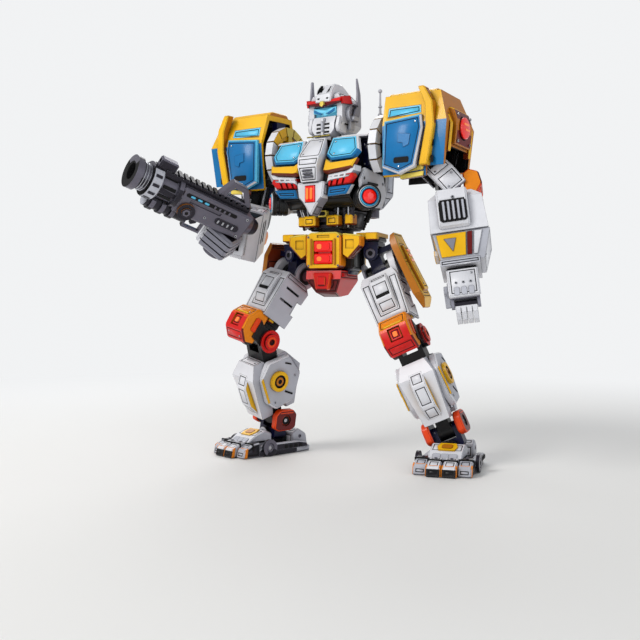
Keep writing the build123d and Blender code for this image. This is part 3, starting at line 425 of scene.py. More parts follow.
def cut_line(mesh, face, ink, border, inner_paint=None):
    """Sinks a line round the inside of one flat face. Returns the corners of the panel left inside it."""
    corners = [v.co.copy() for v in face.verts]
    normal = face.normal.copy()
    loops = [offset_loop(corners, normal, border + share * LINE_WIDTH) for share in (0, 0.5, 1)]
    if None in loops:
        return None
    loops[1] = [p - normal * LINE_DEPTH for p in loops[1]]
    rings = [list(face.verts)] + [[mesh.verts.new(p) for p in loop] for loop in loops]
    colour = face.material_index
    mesh.faces.remove(face)
    for number, (outer, inner) in enumerate(zip(rings, rings[1:])):
        for i in range(len(outer)):
            j = (i + 1) % len(outer)
            strip = mesh.faces.new((outer[i], outer[j], inner[j], inner[i]))
            strip.material_index = ink if number else colour
    panel = mesh.faces.new(rings[-1])
    panel.material_index = colour if inner_paint is None else inner_paint
    return loops[2]


def add_stud(mesh, at, normal, radius, height, colour, sides=8):
    """A low round screw head standing on a face."""
    across = normal.orthogonal().normalized()
    along = normal.cross(across)
    rings = []
    for r, h in ((radius, -0.1), (radius, height * 0.7), (radius * 0.7, height)):
        ring = []
        for i in range(sides):
            t = 2 * math.pi * i / sides
            foot = at + across * (r * math.cos(t)) + along * (r * math.sin(t))
            ring.append(mesh.verts.new(foot + normal * h))
        rings.append(ring)
    made = []
    for low, high in zip(rings, rings[1:]):
        for i in range(sides):
            j = (i + 1) % sides
            made.append(mesh.faces.new((low[i], low[j], high[j], high[i])))
    made.append(mesh.faces.new(rings[-1]))
    made.append(mesh.faces.new(list(reversed(rings[0]))))
    for face in made:
        face.material_index = colour


def dress_panels(mesh, ink, stud, smallest):
    """Panel lines on the larger flat faces, and a screw head in two corners of the biggest."""
    mesh.normal_update()
    for face in [f for f in mesh.faces if f.calc_area() > smallest and len(f.verts) <= 16]:
        corners = [v.co.copy() for v in face.verts]
        if not clear_of_short_edges(corners):
            continue
        normal = face.normal.copy()
        inner = cut_line(mesh, face, ink, LINE_BORDER)
        if inner is None:
            continue
        seats = offset_loop(inner, normal, 2.2)
        if seats is None or len(seats) < 3:
            continue
        spans = sorted(range(len(seats)), key=lambda i: (round(seats[i].z, 2), round(seats[i].y, 2)))
        if (seats[spans[0]] - seats[spans[-1]]).length > 11:
            for i in (spans[0], spans[-1]):
                add_stud(mesh, seats[i], normal, 0.9, 0.35, stud)


def part_centres(mesh):
    """The middle of the loose part that each face belongs to."""
    centres = {}
    for seed in mesh.faces:
        if seed in centres:
            continue
        group = [seed]
        seen = {seed}
        for face in group:
            for edge in face.edges:
                for other in edge.link_faces:
                    if other not in seen:
                        seen.add(other)
                        group.append(other)
        low = Vector((1e9, 1e9, 1e9))
        high = -low
        for face in group:
            for vertex in face.verts:
                low = Vector(map(min, low, vertex.co))
                high = Vector(map(max, high, vertex.co))
        for face in group:
            centres[face] = (low + high) / 2
    return centres


WELD_DISTANCE = 0.01
FLAT_ANGLE = math.radians(1.0)


def dress(node, pick, smallest=70.0, stud="steel"):
    """Replaces a CAD node by a copy with joined-up flat faces, its colours, and panel lines.
    pick says the paint of a face from its loose part's middle, its own middle and its normal."""
    body = NODE_BODY[node]
    mesh = bmesh.new()
    mesh.from_mesh(frame["nodes"][node].data)
    bmesh.ops.transform(mesh, matrix=PLACES[body].inverted(), verts=mesh.verts)
    if PLACES[body].determinant() < 0:
        bmesh.ops.reverse_faces(mesh, faces=mesh.faces)
    bmesh.ops.remove_doubles(mesh, verts=mesh.verts, dist=WELD_DISTANCE)
    bmesh.ops.dissolve_limit(mesh, angle_limit=FLAT_ANGLE, verts=mesh.verts, edges=mesh.edges)
    mesh.normal_update()
    centres = part_centres(mesh)
    paints = ["ink", stud]
    totals = {}
    for face in mesh.faces:
        key = pick(centres[face], face.calc_center_median(), face.normal)
        if key not in paints:
            paints.append(key)
        face.material_index = paints.index(key)
        totals[key] = totals.get(key, 0.0) + face.calc_area()
    if smallest:
        dress_panels(mesh, 0, 1, smallest)
    smooth_by_angle(mesh)
    main = max(totals, key=totals.get)
    return settle(mesh, [node], paints, f"{node}_shell", body)


def same(key):
    return lambda part, at, normal: key


# --- colours of the CAD shapes, by place in each body's own millimetres -----------------------------------
def torso_frame_paint(part, at, normal):
    if at.z > 85 and abs(at.x - 38) < 7 and at.y > 10:
        return "pale"
    if at.z < 19.5 and math.hypot(at.x, at.y) > 18.5:
        return "gun_dark"
    if abs(at.x) > 36 and at.z > 50:
        return "navy"
    return "black"


# painted shade: side faces of the back shell get the darker pale copy of white
def back_shell_paint(part, at, normal):
    if at.z < 23.9 and abs(at.x) < 32:
        return "gun"
    if at.y > 38.5:
        return "yellow"
    if at.y < 37 and abs(normal.y) > 0.8:
        return "black"
    return "white" if abs(normal.y) > 0.5 else "pale"


def battery_door_paint(part, at, normal):
    return "black" if at.y > 38.1 else "grey"


# painted shade: faces turned down, sideways or back get the darker pale and grey copies of white
def chest_shell_paint(part, at, normal):
    if abs(part.x) > 43:
        return "pale" if normal.z < -0.3 else "white"
    if at.y < -30 and at.z < 44.5 and part.z < 40 and abs(part.x) < 5:
        return "pale" if abs(normal.x) > 0.4 and normal.y > -0.5 else "white"
    if normal.z < -0.5 or normal.y > 0.4:
        return "grey"
    return "white"


# painted highlight: top faces of the upper panel get the light sky copy of blue, and chamfers turned up or back
# are white
def chest_blue_paint(part, at, normal):
    upper = part.z > 56
    facing = normal.y < -0.75 if not upper else (normal.y < -0.8 and normal.z > 0.3)
    if facing:
        return "sky" if upper and at.z > 62 else "blue"
    return "white" if normal.z > 0.2 or normal.y > -0.2 else "blue"


# painted light and shade: faces turned down are brown, up light_yellow and sideways gold, copies of yellow
def chest_yellow_paint(part, at, normal):
    if normal.z < -0.25:
        return "brown"
    if normal.y < -0.6:
        return "yellow"
    return "light_yellow" if normal.z > 0.4 else "gold"


# painted highlight: faces turned up on the side lenses get the lighter flame copy of red
def chest_red_paint(part, at, normal):
    if abs(part.x) < 8:
        return "lens"
    return "flame" if normal.z > 0.4 else "red"


# painted shade: faces of the side rings turned back get the darker gold copy of yellow
def collar_paint(part, at, normal):
    radius = math.hypot(at.y, at.z - 75)
    if radius < 18.4:
        return "black"
    if abs(abs(at.x) - 56.5) < 2.7 and radius < 26.4:
        return "yellow" if normal.y < 0.5 else "gold"
    if abs(at.x) < 53 and abs(normal.x) > 0.8 and at.z > 80:
        return "yellow" if at.y < 0 else "light_yellow"
    return "white" if radius > 22 else "black"


def helmet_paint(part, at, normal):
    if abs(at.x) > 22.4:
        return "grey"
    if abs(at.x) > 16.6 and at.z < 37 and at.z > 15:
        return "pale"
    recess = 2.9 < abs(at.x) < 6.8 and at.z > 40 and at.y < 5
    if recess and (abs(normal.x) > 0.9 or normal.z > 0.3) and at.z < 52.9:
        return "ink"
    if normal.y > 0.3 and at.z > 38:
        return "yellow"
    if at.y > 17.5:
        return "grey"
    return "white"


# painted shade: faces turned down get the darker pale copy of white
def face_paint(part, at, normal):
    if abs(at.x) > 11.5:
        return "grey"
    return "white" if normal.z > -0.4 else "pale"


# painted shade: faces turned down get the darker maroon copy of red
def brow_paint(part, at, normal):
    if abs(at.x) < 2.6 and at.y < -18.8:
        return "light_yellow"
    return "maroon" if normal.z < -0.3 else "red"


# painted light and shade: on the top, faces turned up are yellow and the rest the darker gold copy, and faces
# turned straight out are gold
def pauldron_paint(part, at, normal):
    if at.z > 40.5:
        return "yellow" if normal.z > 0.5 else "gold"
    rib = abs(at.y) > 24 and at.x > 23 and at.z > -25
    if rib and abs(at.y) > 29.2:
        return "yellow"
    if rib and abs(at.y) < 33.2 and abs(normal.y) < 0.4:
        return "gold"
    outward = normal.x * (at.x - 15) + normal.y * at.y > 0 or normal.z > 0.3
    if not outward:
        return "black"
    if normal.x > 0.5:
        return "gold"
    return "blue" if abs(normal.y) > 0.6 and at.z < 16 else "yellow"


# painted light and shade: trims turned up, out or forward are yellow or light_yellow and the others the darker
# gold or brown copies; on the blue plates the chamfers are sky or white as painted highlights
def pauldron_trim_paint(part, at, normal):
    if 50 < part.x < 55 and abs(part.y + 0.5) < 3 and abs(part.z - 10.5) < 4:
        return "lens"
    if part.x > 43 and abs(part.y) < 6:
        inside = math.hypot(at.y + 0.5, at.z - 10.5) < 10.4 and at.x > 50.4
        return "maroon" if inside else ("yellow" if normal.z > 0.3 else "gold")
    if part.x > 43:
        return "yellow" if normal.x > 0.5 else "brown"
    if part.z < -20:
        return "light_yellow" if normal.y < -0.5 else "brown"
    flat = abs(normal.y) > 0.9
    if part.z > 15:
        return "sky" if flat else "white"
    return "blue" if flat else ("sky" if normal.z > 0.2 or normal.x < -0.3 else "white")


# painted shade: on the outer armour, faces turned down are grey and side faces pale, darker copies of white
def upper_arm_paint(part, at, normal):
    if at.x > 12.2:
        if normal.z < -0.5:
            return "grey"
        return "white" if normal.x > 0.4 else "pale"
    if at.x < -8.2 and at.z > -44:
        return "navy"
    return "black"


def forearm_frame_paint(part, at, normal):
    if abs(at.y) > 10.5 and -71 < at.z < -21:
        return "steel"
    return "black"


# painted shade: faces turned down at the bottom get the darker pale copy of white
def forearm_armour_paint(part, at, normal):
    if normal.x > 0.6 and at.x > 21.5:
        return "white"
    inner = abs(at.y) < 18.3 and abs(at.x) < 21 and at.z < -21.3 and at.z > -51.8
    away = normal.x * at.x + normal.y * at.y
    if inner and away < 0:
        return "black"
    if at.z < -51 and normal.z < -0.5:
        return "pale"
    if inner and abs(normal.z) > 0.7:
        return "ink"
    return "white"


# painted light and shade: the cuff's faces take orange, flame or maroon by the way they face, and the wrist ring's
# faces turned up or down the darker brown or grey copy
def forearm_trim_paint(side):
    def pick(part, at, normal):
        if part.z > -20:
            if abs(normal.x) > 0.8:
                return "orange"
            return "maroon" if normal.y > 0.5 and -8 < at.z < 8 else "flame"
        if part.z < -73:
            if side < 0:
                return "orange" if abs(normal.z) < 0.5 else "brown"
            return "white" if abs(normal.z) < 0.6 else "grey"
        if abs(part.x) < 4 and -67 < part.z < -59 and part.y < -17:
            return "maroon"
        if part.z > -49:
            return "pale" if part.y < -17.8 else "black"
        if at.x > 16 and normal.x > 0.5:
            return "pale"
        if abs(at.x) < 12.1 and abs(at.y) < 12.1 and normal.z > -0.5:
            return "black"
        if normal.z > 0.6:
            return "grey"
        if side > 0:
            return "yellow" if normal.y < -0.5 and at.x < 25 else "white"
        return "black" if normal.y < -0.5 else "white"
    return pick


def hand_paint(part, at, normal):
    if at.z > -3.8:
        return "black"
    if at.x > 11.9:
        return "white"
    if abs(at.y) > 12.3:
        return "pale"
    return "grey" if abs(normal.x) > 0.5 or normal.z < -0.5 else "gun_dark"


# painted light and shade: finger faces take white or the darker pale copy by the way they face
def fingers_paint(part, at, normal):
    if at.x > 3.4 and at.z > -34.5:
        return "gun_dark"
    return "white" if normal.x < -0.3 or normal.z < -0.3 else "pale"


def blaster_paint(part, at, normal):
    radius = math.hypot(at.x, at.y + 25)
    if abs(at.x) < 8 and abs(at.y) < 11.4 and at.z > -10:
        return "rubber"
    if radius < 9.3 and at.z < -85:
        return "ink"
    if at.y < -39.3 and at.z < 4 and abs(at.x) < 5.1 and at.y > -42.5:
        return "gun_dark"
    if at.y < -42.5:
        return "gun"
    if at.z < -101.2:
        return "gun"
    if -92.2 < at.z < -82.8 and radius > 14.1:
        return "pale"
    if at.y > -15.9 and at.z < -40 and abs(at.x) < 8:
        return "gun_dark"
    if abs(at.x) > 11.2:
        return "gold" if abs(normal.x) < 0.6 else "gun_dark"
    return "gun"


def pelvis_paint(part, at, normal):
    if at.y > 17.2 and at.z > 183:
        return "gun"
    if at.z < 178.5:
        return "navy"
    return "black"


# painted light and shade: faces turned down are brown, up light_yellow, and sideways orange or gold, copies of
# yellow
def belt_paint(part, at, normal):
    if 20 < abs(part.x) < 29 and part.y > -31 and part.y < -28:
        return "glass"
    if part.y > 20:
        return "black" if at.y < 25.4 and abs(at.x) < 14.1 and at.y > 24 else "yellow"
    if normal.z < -0.4:
        return "brown"
    if abs(part.x) < 5:
        if normal.y < -0.8:
            return "yellow"
        return "light_yellow" if normal.z > 0.4 else "orange"
    if abs(part.x) > 26:
        return "yellow" if normal.z > -0.2 else "brown"
    return "gold" if normal.y > -0.8 else "yellow"


# painted light and shade: faces turned down, and the front of the lens frame, get the darker maroon copy of red,
# and side faces towards the front the lighter flame
def crotch_paint(part, at, normal):
    if part.y < -37 and abs(part.x) < 3:
        return "lens"
    if abs(part.x) < 3 and part.y < -32:
        return "maroon" if normal.y < -0.9 else "red"
    if abs(normal.x) > 0.5:
        return "flame" if at.y < -20 else "red"
    return "maroon" if normal.z < -0.3 else "red"


# painted light and shade: on the skirt plate, outer faces are yellow, inner faces brown and the rest gold, and the
# insert's outer face is the lighter flame
def hip_roll_paint(part, at, normal):
    if part.x > 26 and part.z < -20 and part.z > -36 and abs(part.y) < 3:
        return "flame" if normal.x > 0.6 else "gold"
    if at.x > 21.9:
        if normal.x > 0.5:
            return "yellow"
        return "brown" if normal.x < -0.5 else "gold"
    return "navy"


def thigh_frame_paint(part, at, normal):
    if abs(at.x) > 9.5 and at.y > 3 and -53 < at.z < -15:
        return "steel"
    return "black"


# painted shade: faces turned down, and faces turned back in the middle, get the darker grey copy of white, and the
# inner side pale or grey
def thigh_armour_paint(part, at, normal):
    if abs(at.x) > 18.5:
        return "grey"
    if at.x < -12:
        return "pale" if normal.x < -0.5 else "grey"
    if normal.z < -0.7 or (abs(at.x) < 14.5 and at.y > -14.1 and normal.y > 0):
        return "grey"
    return "white"


# painted light and shade: faces turned up are orange, the side blocks maroon except faces turned sideways, and low
# side faces maroon, copies of red
def knee_paint(part, at, normal):
    if abs(part.x) < 3 and part.y < -30 and part.z > -76 and part.z < -66:
        return "lens"
    if abs(at.x) > 15.5:
        return "maroon" if abs(normal.x) < 0.7 else "red"
    if abs(at.x) > 12.2 and at.y > -21 and at.z < -62:
        return "black"
    if at.z > -56 and at.y > -12.5:
        return "yellow"
    if normal.z > 0.35:
        return "orange"
    if abs(normal.x) > 0.6:
        return "maroon" if at.z < -72 else "orange"
    return "red" if at.z < -66 else "flame"


def shin_frame_paint(part, at, normal):
    if abs(at.x) > 8.2 and at.y > 6 and -71 < at.z < -19:
        return "steel"
    return "black"


# painted shade: side faces and faces turned back get the darker pale and grey copies of white
def shin_armour_paint(part, at, normal):
    if abs(at.x) > 20.6:
        radius = math.hypot(at.y + 1, at.z + 40)
        return "yellow" if abs(at.x) > 23.3 or radius > 6.6 else "ink"
    if abs(at.x) > 12.4:
        if abs(normal.x) > 0.9:
            return "pale"
        return "white" if normal.y < 0.2 else "grey"
    if normal.y > 0.5:
        return "pale"
    if abs(at.x) < 7.1 and at.y < -24:
        return "white" if normal.y < -0.3 else "yellow"
    return "white" if normal.y < 0.1 else "black"


# painted shade: faces of the socket block turned back get the darker maroon copy of flame
def ankle_paint(part, at, normal):
    if abs(at.x) > 12.1 and at.z > -9:
        if abs(normal.x) > 0.9:
            return "maroon" if abs(at.x) > 18.6 else "ink"
        if math.hypot(at.y, at.z - 3.5) < 5.7:
            return "ink"
        return "flame" if normal.y < 0.3 else "maroon"
    return "navy"


# painted shade: on the white plates, faces turned sideways get the darker pale copy, and on the toe plates faces
# not turned up are grey
def foot_paint(part, at, normal):
    if at.z < -12.4 and part.z < -12:
        return "black"
    if at.y < -38 and part.y < -40 and abs(part.x) < 27 and part.z < -8:
        if at.y < -53:
            return "orange"
        return "white" if normal.z > 0.4 else "grey"
    if abs(at.x) > 24.9:
        radius = math.hypot(at.y + 24, at.z + 9.8)
        return "gun_dark" if radius > 4.4 else "gun"
    if abs(at.x) > 18.9:
        return "pale"
    if at.z < -12.4:
        return "black"
    if abs(at.x) < 15.2 and at.y < -12:
        return "pale" if abs(normal.x) > 0.5 else "white"
    if abs(at.x) < 16.2 and at.y > 12:
        return "pale" if abs(normal.x) > 0.5 else "white"
    return "black"


# each row: node, pick of its paints, smallest face with a panel line (0 for none), paint of its screws
MIDDLE_ROWS = (
    ("pelvis_frame", pelvis_paint, 120),
    ("belt_armour", belt_paint),
    ("crotch_guard", crotch_paint),
    ("buckle_button", same("lens"), 60, "lens"),
    ("torso_frame", torso_frame_paint, 120),
    ("battery_cells", lambda part, at, normal: "steel" if at.x > 23.4 else "cell", 0),
    ("sound_unit", lambda part, at, normal: "board" if -18.1 < at.y < -16.3 else "black", 0),
    ("back_shell", back_shell_paint),
    ("battery_door", battery_door_paint),
    ("power_switch", same("red"), 0),
    ("chest_red_lenses", chest_red_paint, 200),
    ("chest_blue_panels", chest_blue_paint),
    ("chest_yellow_panels", chest_yellow_paint, 60),
    ("chest_shell", chest_shell_paint),
    ("collar_arches", collar_paint, 0),
    ("neck_post", same("black"), 0),
    ("eye_visor", same("glass"), 0),
    ("brow_band", brow_paint, 0),
    ("face_guard", face_paint, 0),
    ("helmet", helmet_paint, 60),
    ("left_fingers", fingers_paint, 0),
    ("blaster", blaster_paint, 90),
    ("blaster_trigger", same("gun_dark"), 0),
)


def side_rows(side):
    return (
        ("shoulder_hub", same("navy"), 0),
        ("pauldron", pauldron_paint),
        ("pauldron_trim", pauldron_trim_paint),
        ("arm_yoke", same("black"), 0),
        ("upper_arm", upper_arm_paint),
        ("forearm_frame", forearm_frame_paint, 0),
        ("forearm_armour", forearm_armour_paint),
        ("forearm_trim", forearm_trim_paint(side)),
        ("hand", hand_paint),
        ("hip_yaw_block", same("navy"), 0),
        ("hip_roll_bracket", hip_roll_paint),
        ("thigh_frame", thigh_frame_paint, 0),
        ("thigh_armour", thigh_armour_paint),
        ("knee_guard", knee_paint),
        ("shin_frame", shin_frame_paint, 0),
        ("shin_armour", shin_armour_paint),
        ("ankle_cross", ankle_paint),
        ("foot", foot_paint, 55),
    )


for row in MIDDLE_ROWS:
    dress(*row)
for name, side in SIDES.items():
    for node, *look in side_rows(side):
        dress(f"{name}_{node}", *look)

# --- added detail, each piece in its body's own millimetres ------------------------------------------------
UNMOVED = Matrix.Identity(4)


def turn(axis, degrees):
    return Matrix.Rotation(math.radians(degrees), 4, axis)


def shift(x, y, z):
    return Matrix.Translation((x, y, z))


class Kit:
    """Collects small solids for one piece, each with its own paint."""

    def __init__(self):
        self.mesh = bmesh.new()
        self.paints = []

    def own(self, faces, key):
        if key not in self.paints:
            self.paints.append(key)
        for face in faces:
            face.material_index = self.paints.index(key)

    def prism(self, points, low, high, along, key, where=UNMOVED):
        """An outline carried along one axis. The points are in the other two axes, in order."""
        order = {"x": (2, 0, 1), "y": (0, 2, 1), "z": (0, 1, 2)}[along]
        rings = []
        for level in (low, high):
            ring = []
            for a, b in points:
                value = (a, b, level)
                ring.append(self.mesh.verts.new(where @ Vector([value[i] for i in order])))
            rings.append(ring)
        count = len(points)
        made = [self.mesh.faces.new(rings[0]), self.mesh.faces.new(rings[1])]
        for i in range(count):
            j = (i + 1) % count
            made.append(self.mesh.faces.new((rings[0][i], rings[0][j], rings[1][j], rings[1][i])))
        bmesh.ops.recalc_face_normals(self.mesh, faces=made)
        self.own(made, key)

    def block(self, x0, x1, y0, y1, z0, z1, key, where=UNMOVED, trim=0.5):
        """A block whose upright corners along its thinnest side are cut off."""
        spans = {"x": x1 - x0, "y": y1 - y0, "z": z1 - z0}
        along = min(spans, key=spans.get)
        limits = {"x": (x0, x1), "y": (y0, y1), "z": (z0, z1)}
        first, second = [axis for axis in "xyz" if axis != along]
        (a0, a1), (b0, b1) = limits[first], limits[second]
        cut = min(trim, (a1 - a0) / 3, (b1 - b0) / 3)
        points = [(a0 + cut, b0), (a1 - cut, b0), (a1, b0 + cut), (a1, b1 - cut),
                  (a1 - cut, b1), (a0 + cut, b1), (a0, b1 - cut), (a0, b0 + cut)]
        self.prism(points, *limits[along], along, key, where)

    def turned(self, profile, where, key, sides=32):
        """A shape turned round the local Z axis from (radius, height) or (radius, height, paint) points."""
        rings = []
        for point in profile:
            radius, height = point[:2]
            if radius < 1e-6:
                rings.append([self.mesh.verts.new(where @ Vector((0, 0, height)))])
                continue
            ring = []
            for i in range(sides):
                t = 2 * math.pi * i / sides
                corner = Vector((radius * math.cos(t), radius * math.sin(t), height))
                ring.append(self.mesh.verts.new(where @ corner))
            rings.append(ring)
        everything = []
        paint_now = key
        for number, (low, high) in enumerate(zip(rings, rings[1:])):
            made = []
            for i in range(sides):
                j = (i + 1) % sides
                corners = [low[i % len(low)], low[j % len(low)], high[j % len(high)], high[i % len(high)]]
                made.append(self.mesh.faces.new(list(dict.fromkeys(corners))))
            point = profile[number + 1]
            paint_now = point[2] if len(point) > 2 else paint_now
            self.own(made, paint_now)
            everything += made
        for ring in (rings[0], rings[-1]):
            if len(ring) > 1:
                cap = self.mesh.faces.new(ring)
                self.own([cap], key if ring is rings[0] else paint_now)
                everything.append(cap)
        bmesh.ops.recalc_face_normals(self.mesh, faces=everything)

    def bar(self, start, end, radius, key, sides=16, ribs=0):
        """A round rod between two points, ribbed like a bellows if asked."""
        start, end = Vector(start), Vector(end)
        run = end - start
        where = Matrix.Translation(start) @ run.to_track_quat("Z", "Y").to_matrix().to_4x4()
        length = run.length
        if not ribs:
            edge = min(0.3, radius / 3)
            profile = [(radius - edge, 0), (radius, edge), (radius, length - edge), (radius - edge, length)]
        else:
            profile = [(radius * 0.8, 0)]
            for i in range(ribs):
                at = length * (i + 0.5) / ribs
                half = length / ribs * 0.24
                profile += [(radius * 0.8, at - 1.6 * half), (radius, at - half), (radius, at + half),
                            (radius * 0.8, at + 1.6 * half)]
            profile.append((radius * 0.8, length))
        self.turned(profile, where, key, sides)

    def bolt(self, where, radius, key="steel"):
        """A hexagon socket screw head lying on the local XY plane."""
        self.turned([(radius, 0), (radius, 0.35), (radius * 0.86, 0.6), (radius * 0.5, 0.6),
                     (radius * 0.45, 0.3, "ink")], where, key, 6 if radius > 1.4 else 12)

    def mirrored(self):
        """Adds the same shapes on the other side of the middle."""
        everything = self.mesh.verts[:] + self.mesh.edges[:] + self.mesh.faces[:]
        copied = bmesh.ops.duplicate(self.mesh, geom=everything)["geom"]
        verts = [g for g in copied if isinstance(g, bmesh.types.BMVert)]
        faces = [g for g in copied if isinstance(g, bmesh.types.BMFace)]
        bmesh.ops.scale(self.mesh, vec=(-1, 1, 1), verts=verts)
        bmesh.ops.reverse_faces(self.mesh, faces=faces)

    def finish(self, name, body, replaced=()):
        self.mesh.normal_update()
        smooth_by_angle(self.mesh)
        totals = {}
        for face in self.mesh.faces:
            totals[face.material_index] = totals.get(face.material_index, 0.0) + face.calc_area()
        main = self.paints[max(totals, key=totals.get)]
        settle(self.mesh, list(replaced), self.paints, name, body)


# torso
POD = shift(43, -20, 29) @ turn("Z", 48) @ turn("X", 90)
UPPER_FACE = shift(0, -37, 58) @ turn("X", 90 - math.degrees(math.atan2(13, 26)))
FACING_FRONT = turn("X", 90)
FACING_BACK = turn("X", -90)
FACING_OUT = turn("Y", 90)


def pods():
    kit = Kit()
    profile = [(8, -6), (8.6, -5.4), (11.0, -0.6), (11.0, 0, "ink"), (11.5, 0.2, "black"), (11.5, 3.0),
               (10.9, 3.4), (10.9, 4.2), (11.5, 4.6), (11.5, 7.6), (10.0, 8.2), (10.0, 10.4), (11.5, 10.8),
               (11.5, 13.4), (10.9, 14.0), (9.8, 14.0, "ink"), (9.6, 14.5, "white"), (9.2, 14.9),
               (8.8, 14.5, "ink"), (8.6, 15.0, "sky"), (7.9, 15.5), (7.1, 15.2, "blue"),
               (6.9, 14.6, "ink"), (6.4, 14.6), (6.1, 15.6, "lens"), (4.4, 16.6), (2.2, 17.0), (0, 17.0)]
    kit.turned(profile, POD, "pale", 40)
    for i in range(10):
        spoke = POD @ turn("Z", 36 * i)
        kit.block(10.0, 11.4, -1.2, 1.2, 8.4, 10.2, "gun_dark", spoke, 0.2)
    kit.mirrored()
    kit.finish("side_pods_turned", "torso", ["side_pods"])


def chest_details():
    kit = Kit()
    # slats on the hood, fins on the upper face, and a bar with screws on top
    for z in (47.5, 50.5, 53.5):
        kit.block(-5, 5, -49.2, -46.2, z, z + 1.4, "grey", trim=0.3)
    for y in (9.0, 13.0, 17.0):
        kit.block(13.5, 15.5, y, y + 2.4, 0.0, 3.2, "gun", UPPER_FACE, 0.2)
    kit.block(-12.6, 12.6, -31, -29.4, 87, 87.9, "light_yellow", trim=0.8)
    for x in (-8.5, 8.5):
        kit.bolt(shift(x, -27, 87.4), 1.0)
    kit.mirrored()
    kit.finish("chest_hood_slats", "torso")
    kit = Kit()
    # mechanics in the open waist and under the chest
    for x, tilt in ((11, 6), (19, 12), (26, 16)):
        kit.bar((x, -19 + tilt * 0.4, 3.5), (x + tilt * 0.25, -20, 22), 2.3, "gun_dark", ribs=7)
    kit.bar((15, -21.5, 4.5), (17, -23, 22), 1.1, "steel")
    kit.bar((23, -15, 4), (27, -21, 24), 1.2, "steel")
    kit.bar((30, 6, 10), (33, 12, 26), 2.6, "rubber", ribs=8)
    kit.bar((20, 15, 4), (27, 19, 24), 2.6, "rubber", ribs=9)
    for z in (4.5, 9.5, 14.5):
        kit.block(8, 20, 14.0, 16.4, z, z + 2.6, "gun_dark", trim=0.6)
    kit.mirrored()
    kit.block(-5, 5, -24, -20, 14, 20, "light_yellow", trim=1.0)
    kit.block(-3.4, 3.4, -24.6, -23, 15.4, 18.6, "ink", trim=0.6)
    kit.finish("waist_mechanics", "torso")
    kit = Kit()
    # painted highlights on the tall lens: orange bars that give off light
    kit.block(-3.4, -0.8, -46.1, -45.2, 28.2, 38.6, "ember", trim=0.9)
    kit.block(0.9, 3.4, -46.1, -45.2, 28.2, 38.6, "ember", trim=0.9)
    kit.finish("chest_lens_bars", "torso")
    kit = Kit()
    # flank vents and shoulder armour screws
    for z in (26, 31, 36, 41):
        kit.block(47.2, 48.3, -22, -4, z, z + 2.2, "black", trim=0.6)
    kit.bolt(shift(47.4, -28, 46) @ FACING_OUT, 1.5)
    kit.bolt(shift(47.4, 6, 44) @ FACING_OUT, 1.5)
    for y in (-14, -6, 2, 8):
        kit.block(20, 40, y, y + 2.4, 86.6, 87.6, "gun_dark", trim=0.8)
    kit.mirrored()
    kit.finish("torso_vents", "torso")


def back_details():
    kit = Kit()
    # thruster bells with a glowing orange centre as painted light, vents and screws on the back
    bell = shift(22, 30, 16) @ turn("X", 180)
    kit.turned([(7.3, -8), (7.3, -6), (6.6, -5.6), (6.6, -3.4), (7.4, -2.6), (7.4, -0.2, "steel"),
                (6.2, -0.2), (4.6, -3.0, "ember"), (0, -3.4)], bell, "gun_dark")
    for z in (77, 80.4):
        kit.block(16, 30, 37.4, 38.6, z, z + 1.8, "black", trim=0.6)
    for x, z in ((33, 30), (38.5, 56), (33, 82)):
        kit.bolt(shift(x, 38, z) @ FACING_BACK, 1.5)
    for z in (48.5, 54.5, 60.5):
        kit.block(29.0, 33.0, 42.2, 43.6, z, z + 2.6, "red", trim=0.5)
    kit.mirrored()
    kit.finish("back_fittings", "torso")
    kit = Kit()
    for x in (-20, 20):
        kit.bolt(shift(x, 38, 68) @ FACING_BACK, 1.2)
    kit.block(-7, 7, 37.8, 38.6, 62.4, 64.0, "red", trim=0.5)
    kit.finish("door_screws", "door")


# head, drawn at its own small scale and grown like the CAD head
HEAD = Matrix.Diagonal((1.08, 1.08, 1.08, 1))


def head_details():
    kit = Kit()
    for z in (7.0, 10.4, 13.8):
        kit.block(1.9, 6.3, -17.2, -15.7, z + 0.1, z + 1.5, "ink", HEAD, 0.2)
    # ear cups and the sockets of the aerials
    ear = HEAD @ shift(20.2, -1, 24) @ FACING_OUT
    kit.turned([(3.9, 0), (3.9, 0.7), (3.2, 1.2), (2.4, 1.2, "ink"), (2.2, 0.6), (1.4, 0.6, "steel"),
                (1.2, 1.3), (0, 1.4)], ear, "gun", 24)
    kit.block(20.4, 23.9, -4.6, 3.6, 17.6, 21.5, "pale", HEAD, 0.6)
    kit.block(21.2, 23.8, -3.6, 2.6, 30.0, 31.2, "gun_dark", HEAD, 0.3)
    kit.block(17.0, 17.5, -9, -1, 14, 15.2, "ink", HEAD, 0.3)
    kit.block(3.2, 5.6, -17.6, -16.2, 35.9, 37.2, "ink", HEAD, 0.3)
    kit.mirrored()
    kit.block(-1.0, 1.0, -19.0, -18.2, 8, 17, "pale", HEAD, 0.4)
    for z in (17.5, 21.5, 25.5):
        kit.block(-6, 6, 20.6, 21.5, z, z + 1.8, "ink", HEAD, 0.5)
    kit.finish("head_fittings", "head")
    kit = Kit()
    # painted shade: darker blue lower corners of the visor
    corner = [(1.2, 24.2), (3.0, 24.6), (10.4, 28.2), (10.6, 25.6), (4, 23.4)]
    kit.prism(corner, -15.05, -14.2, "y", "blue", HEAD)
    kit.mirrored()
    kit.finish("visor_corners", "head")


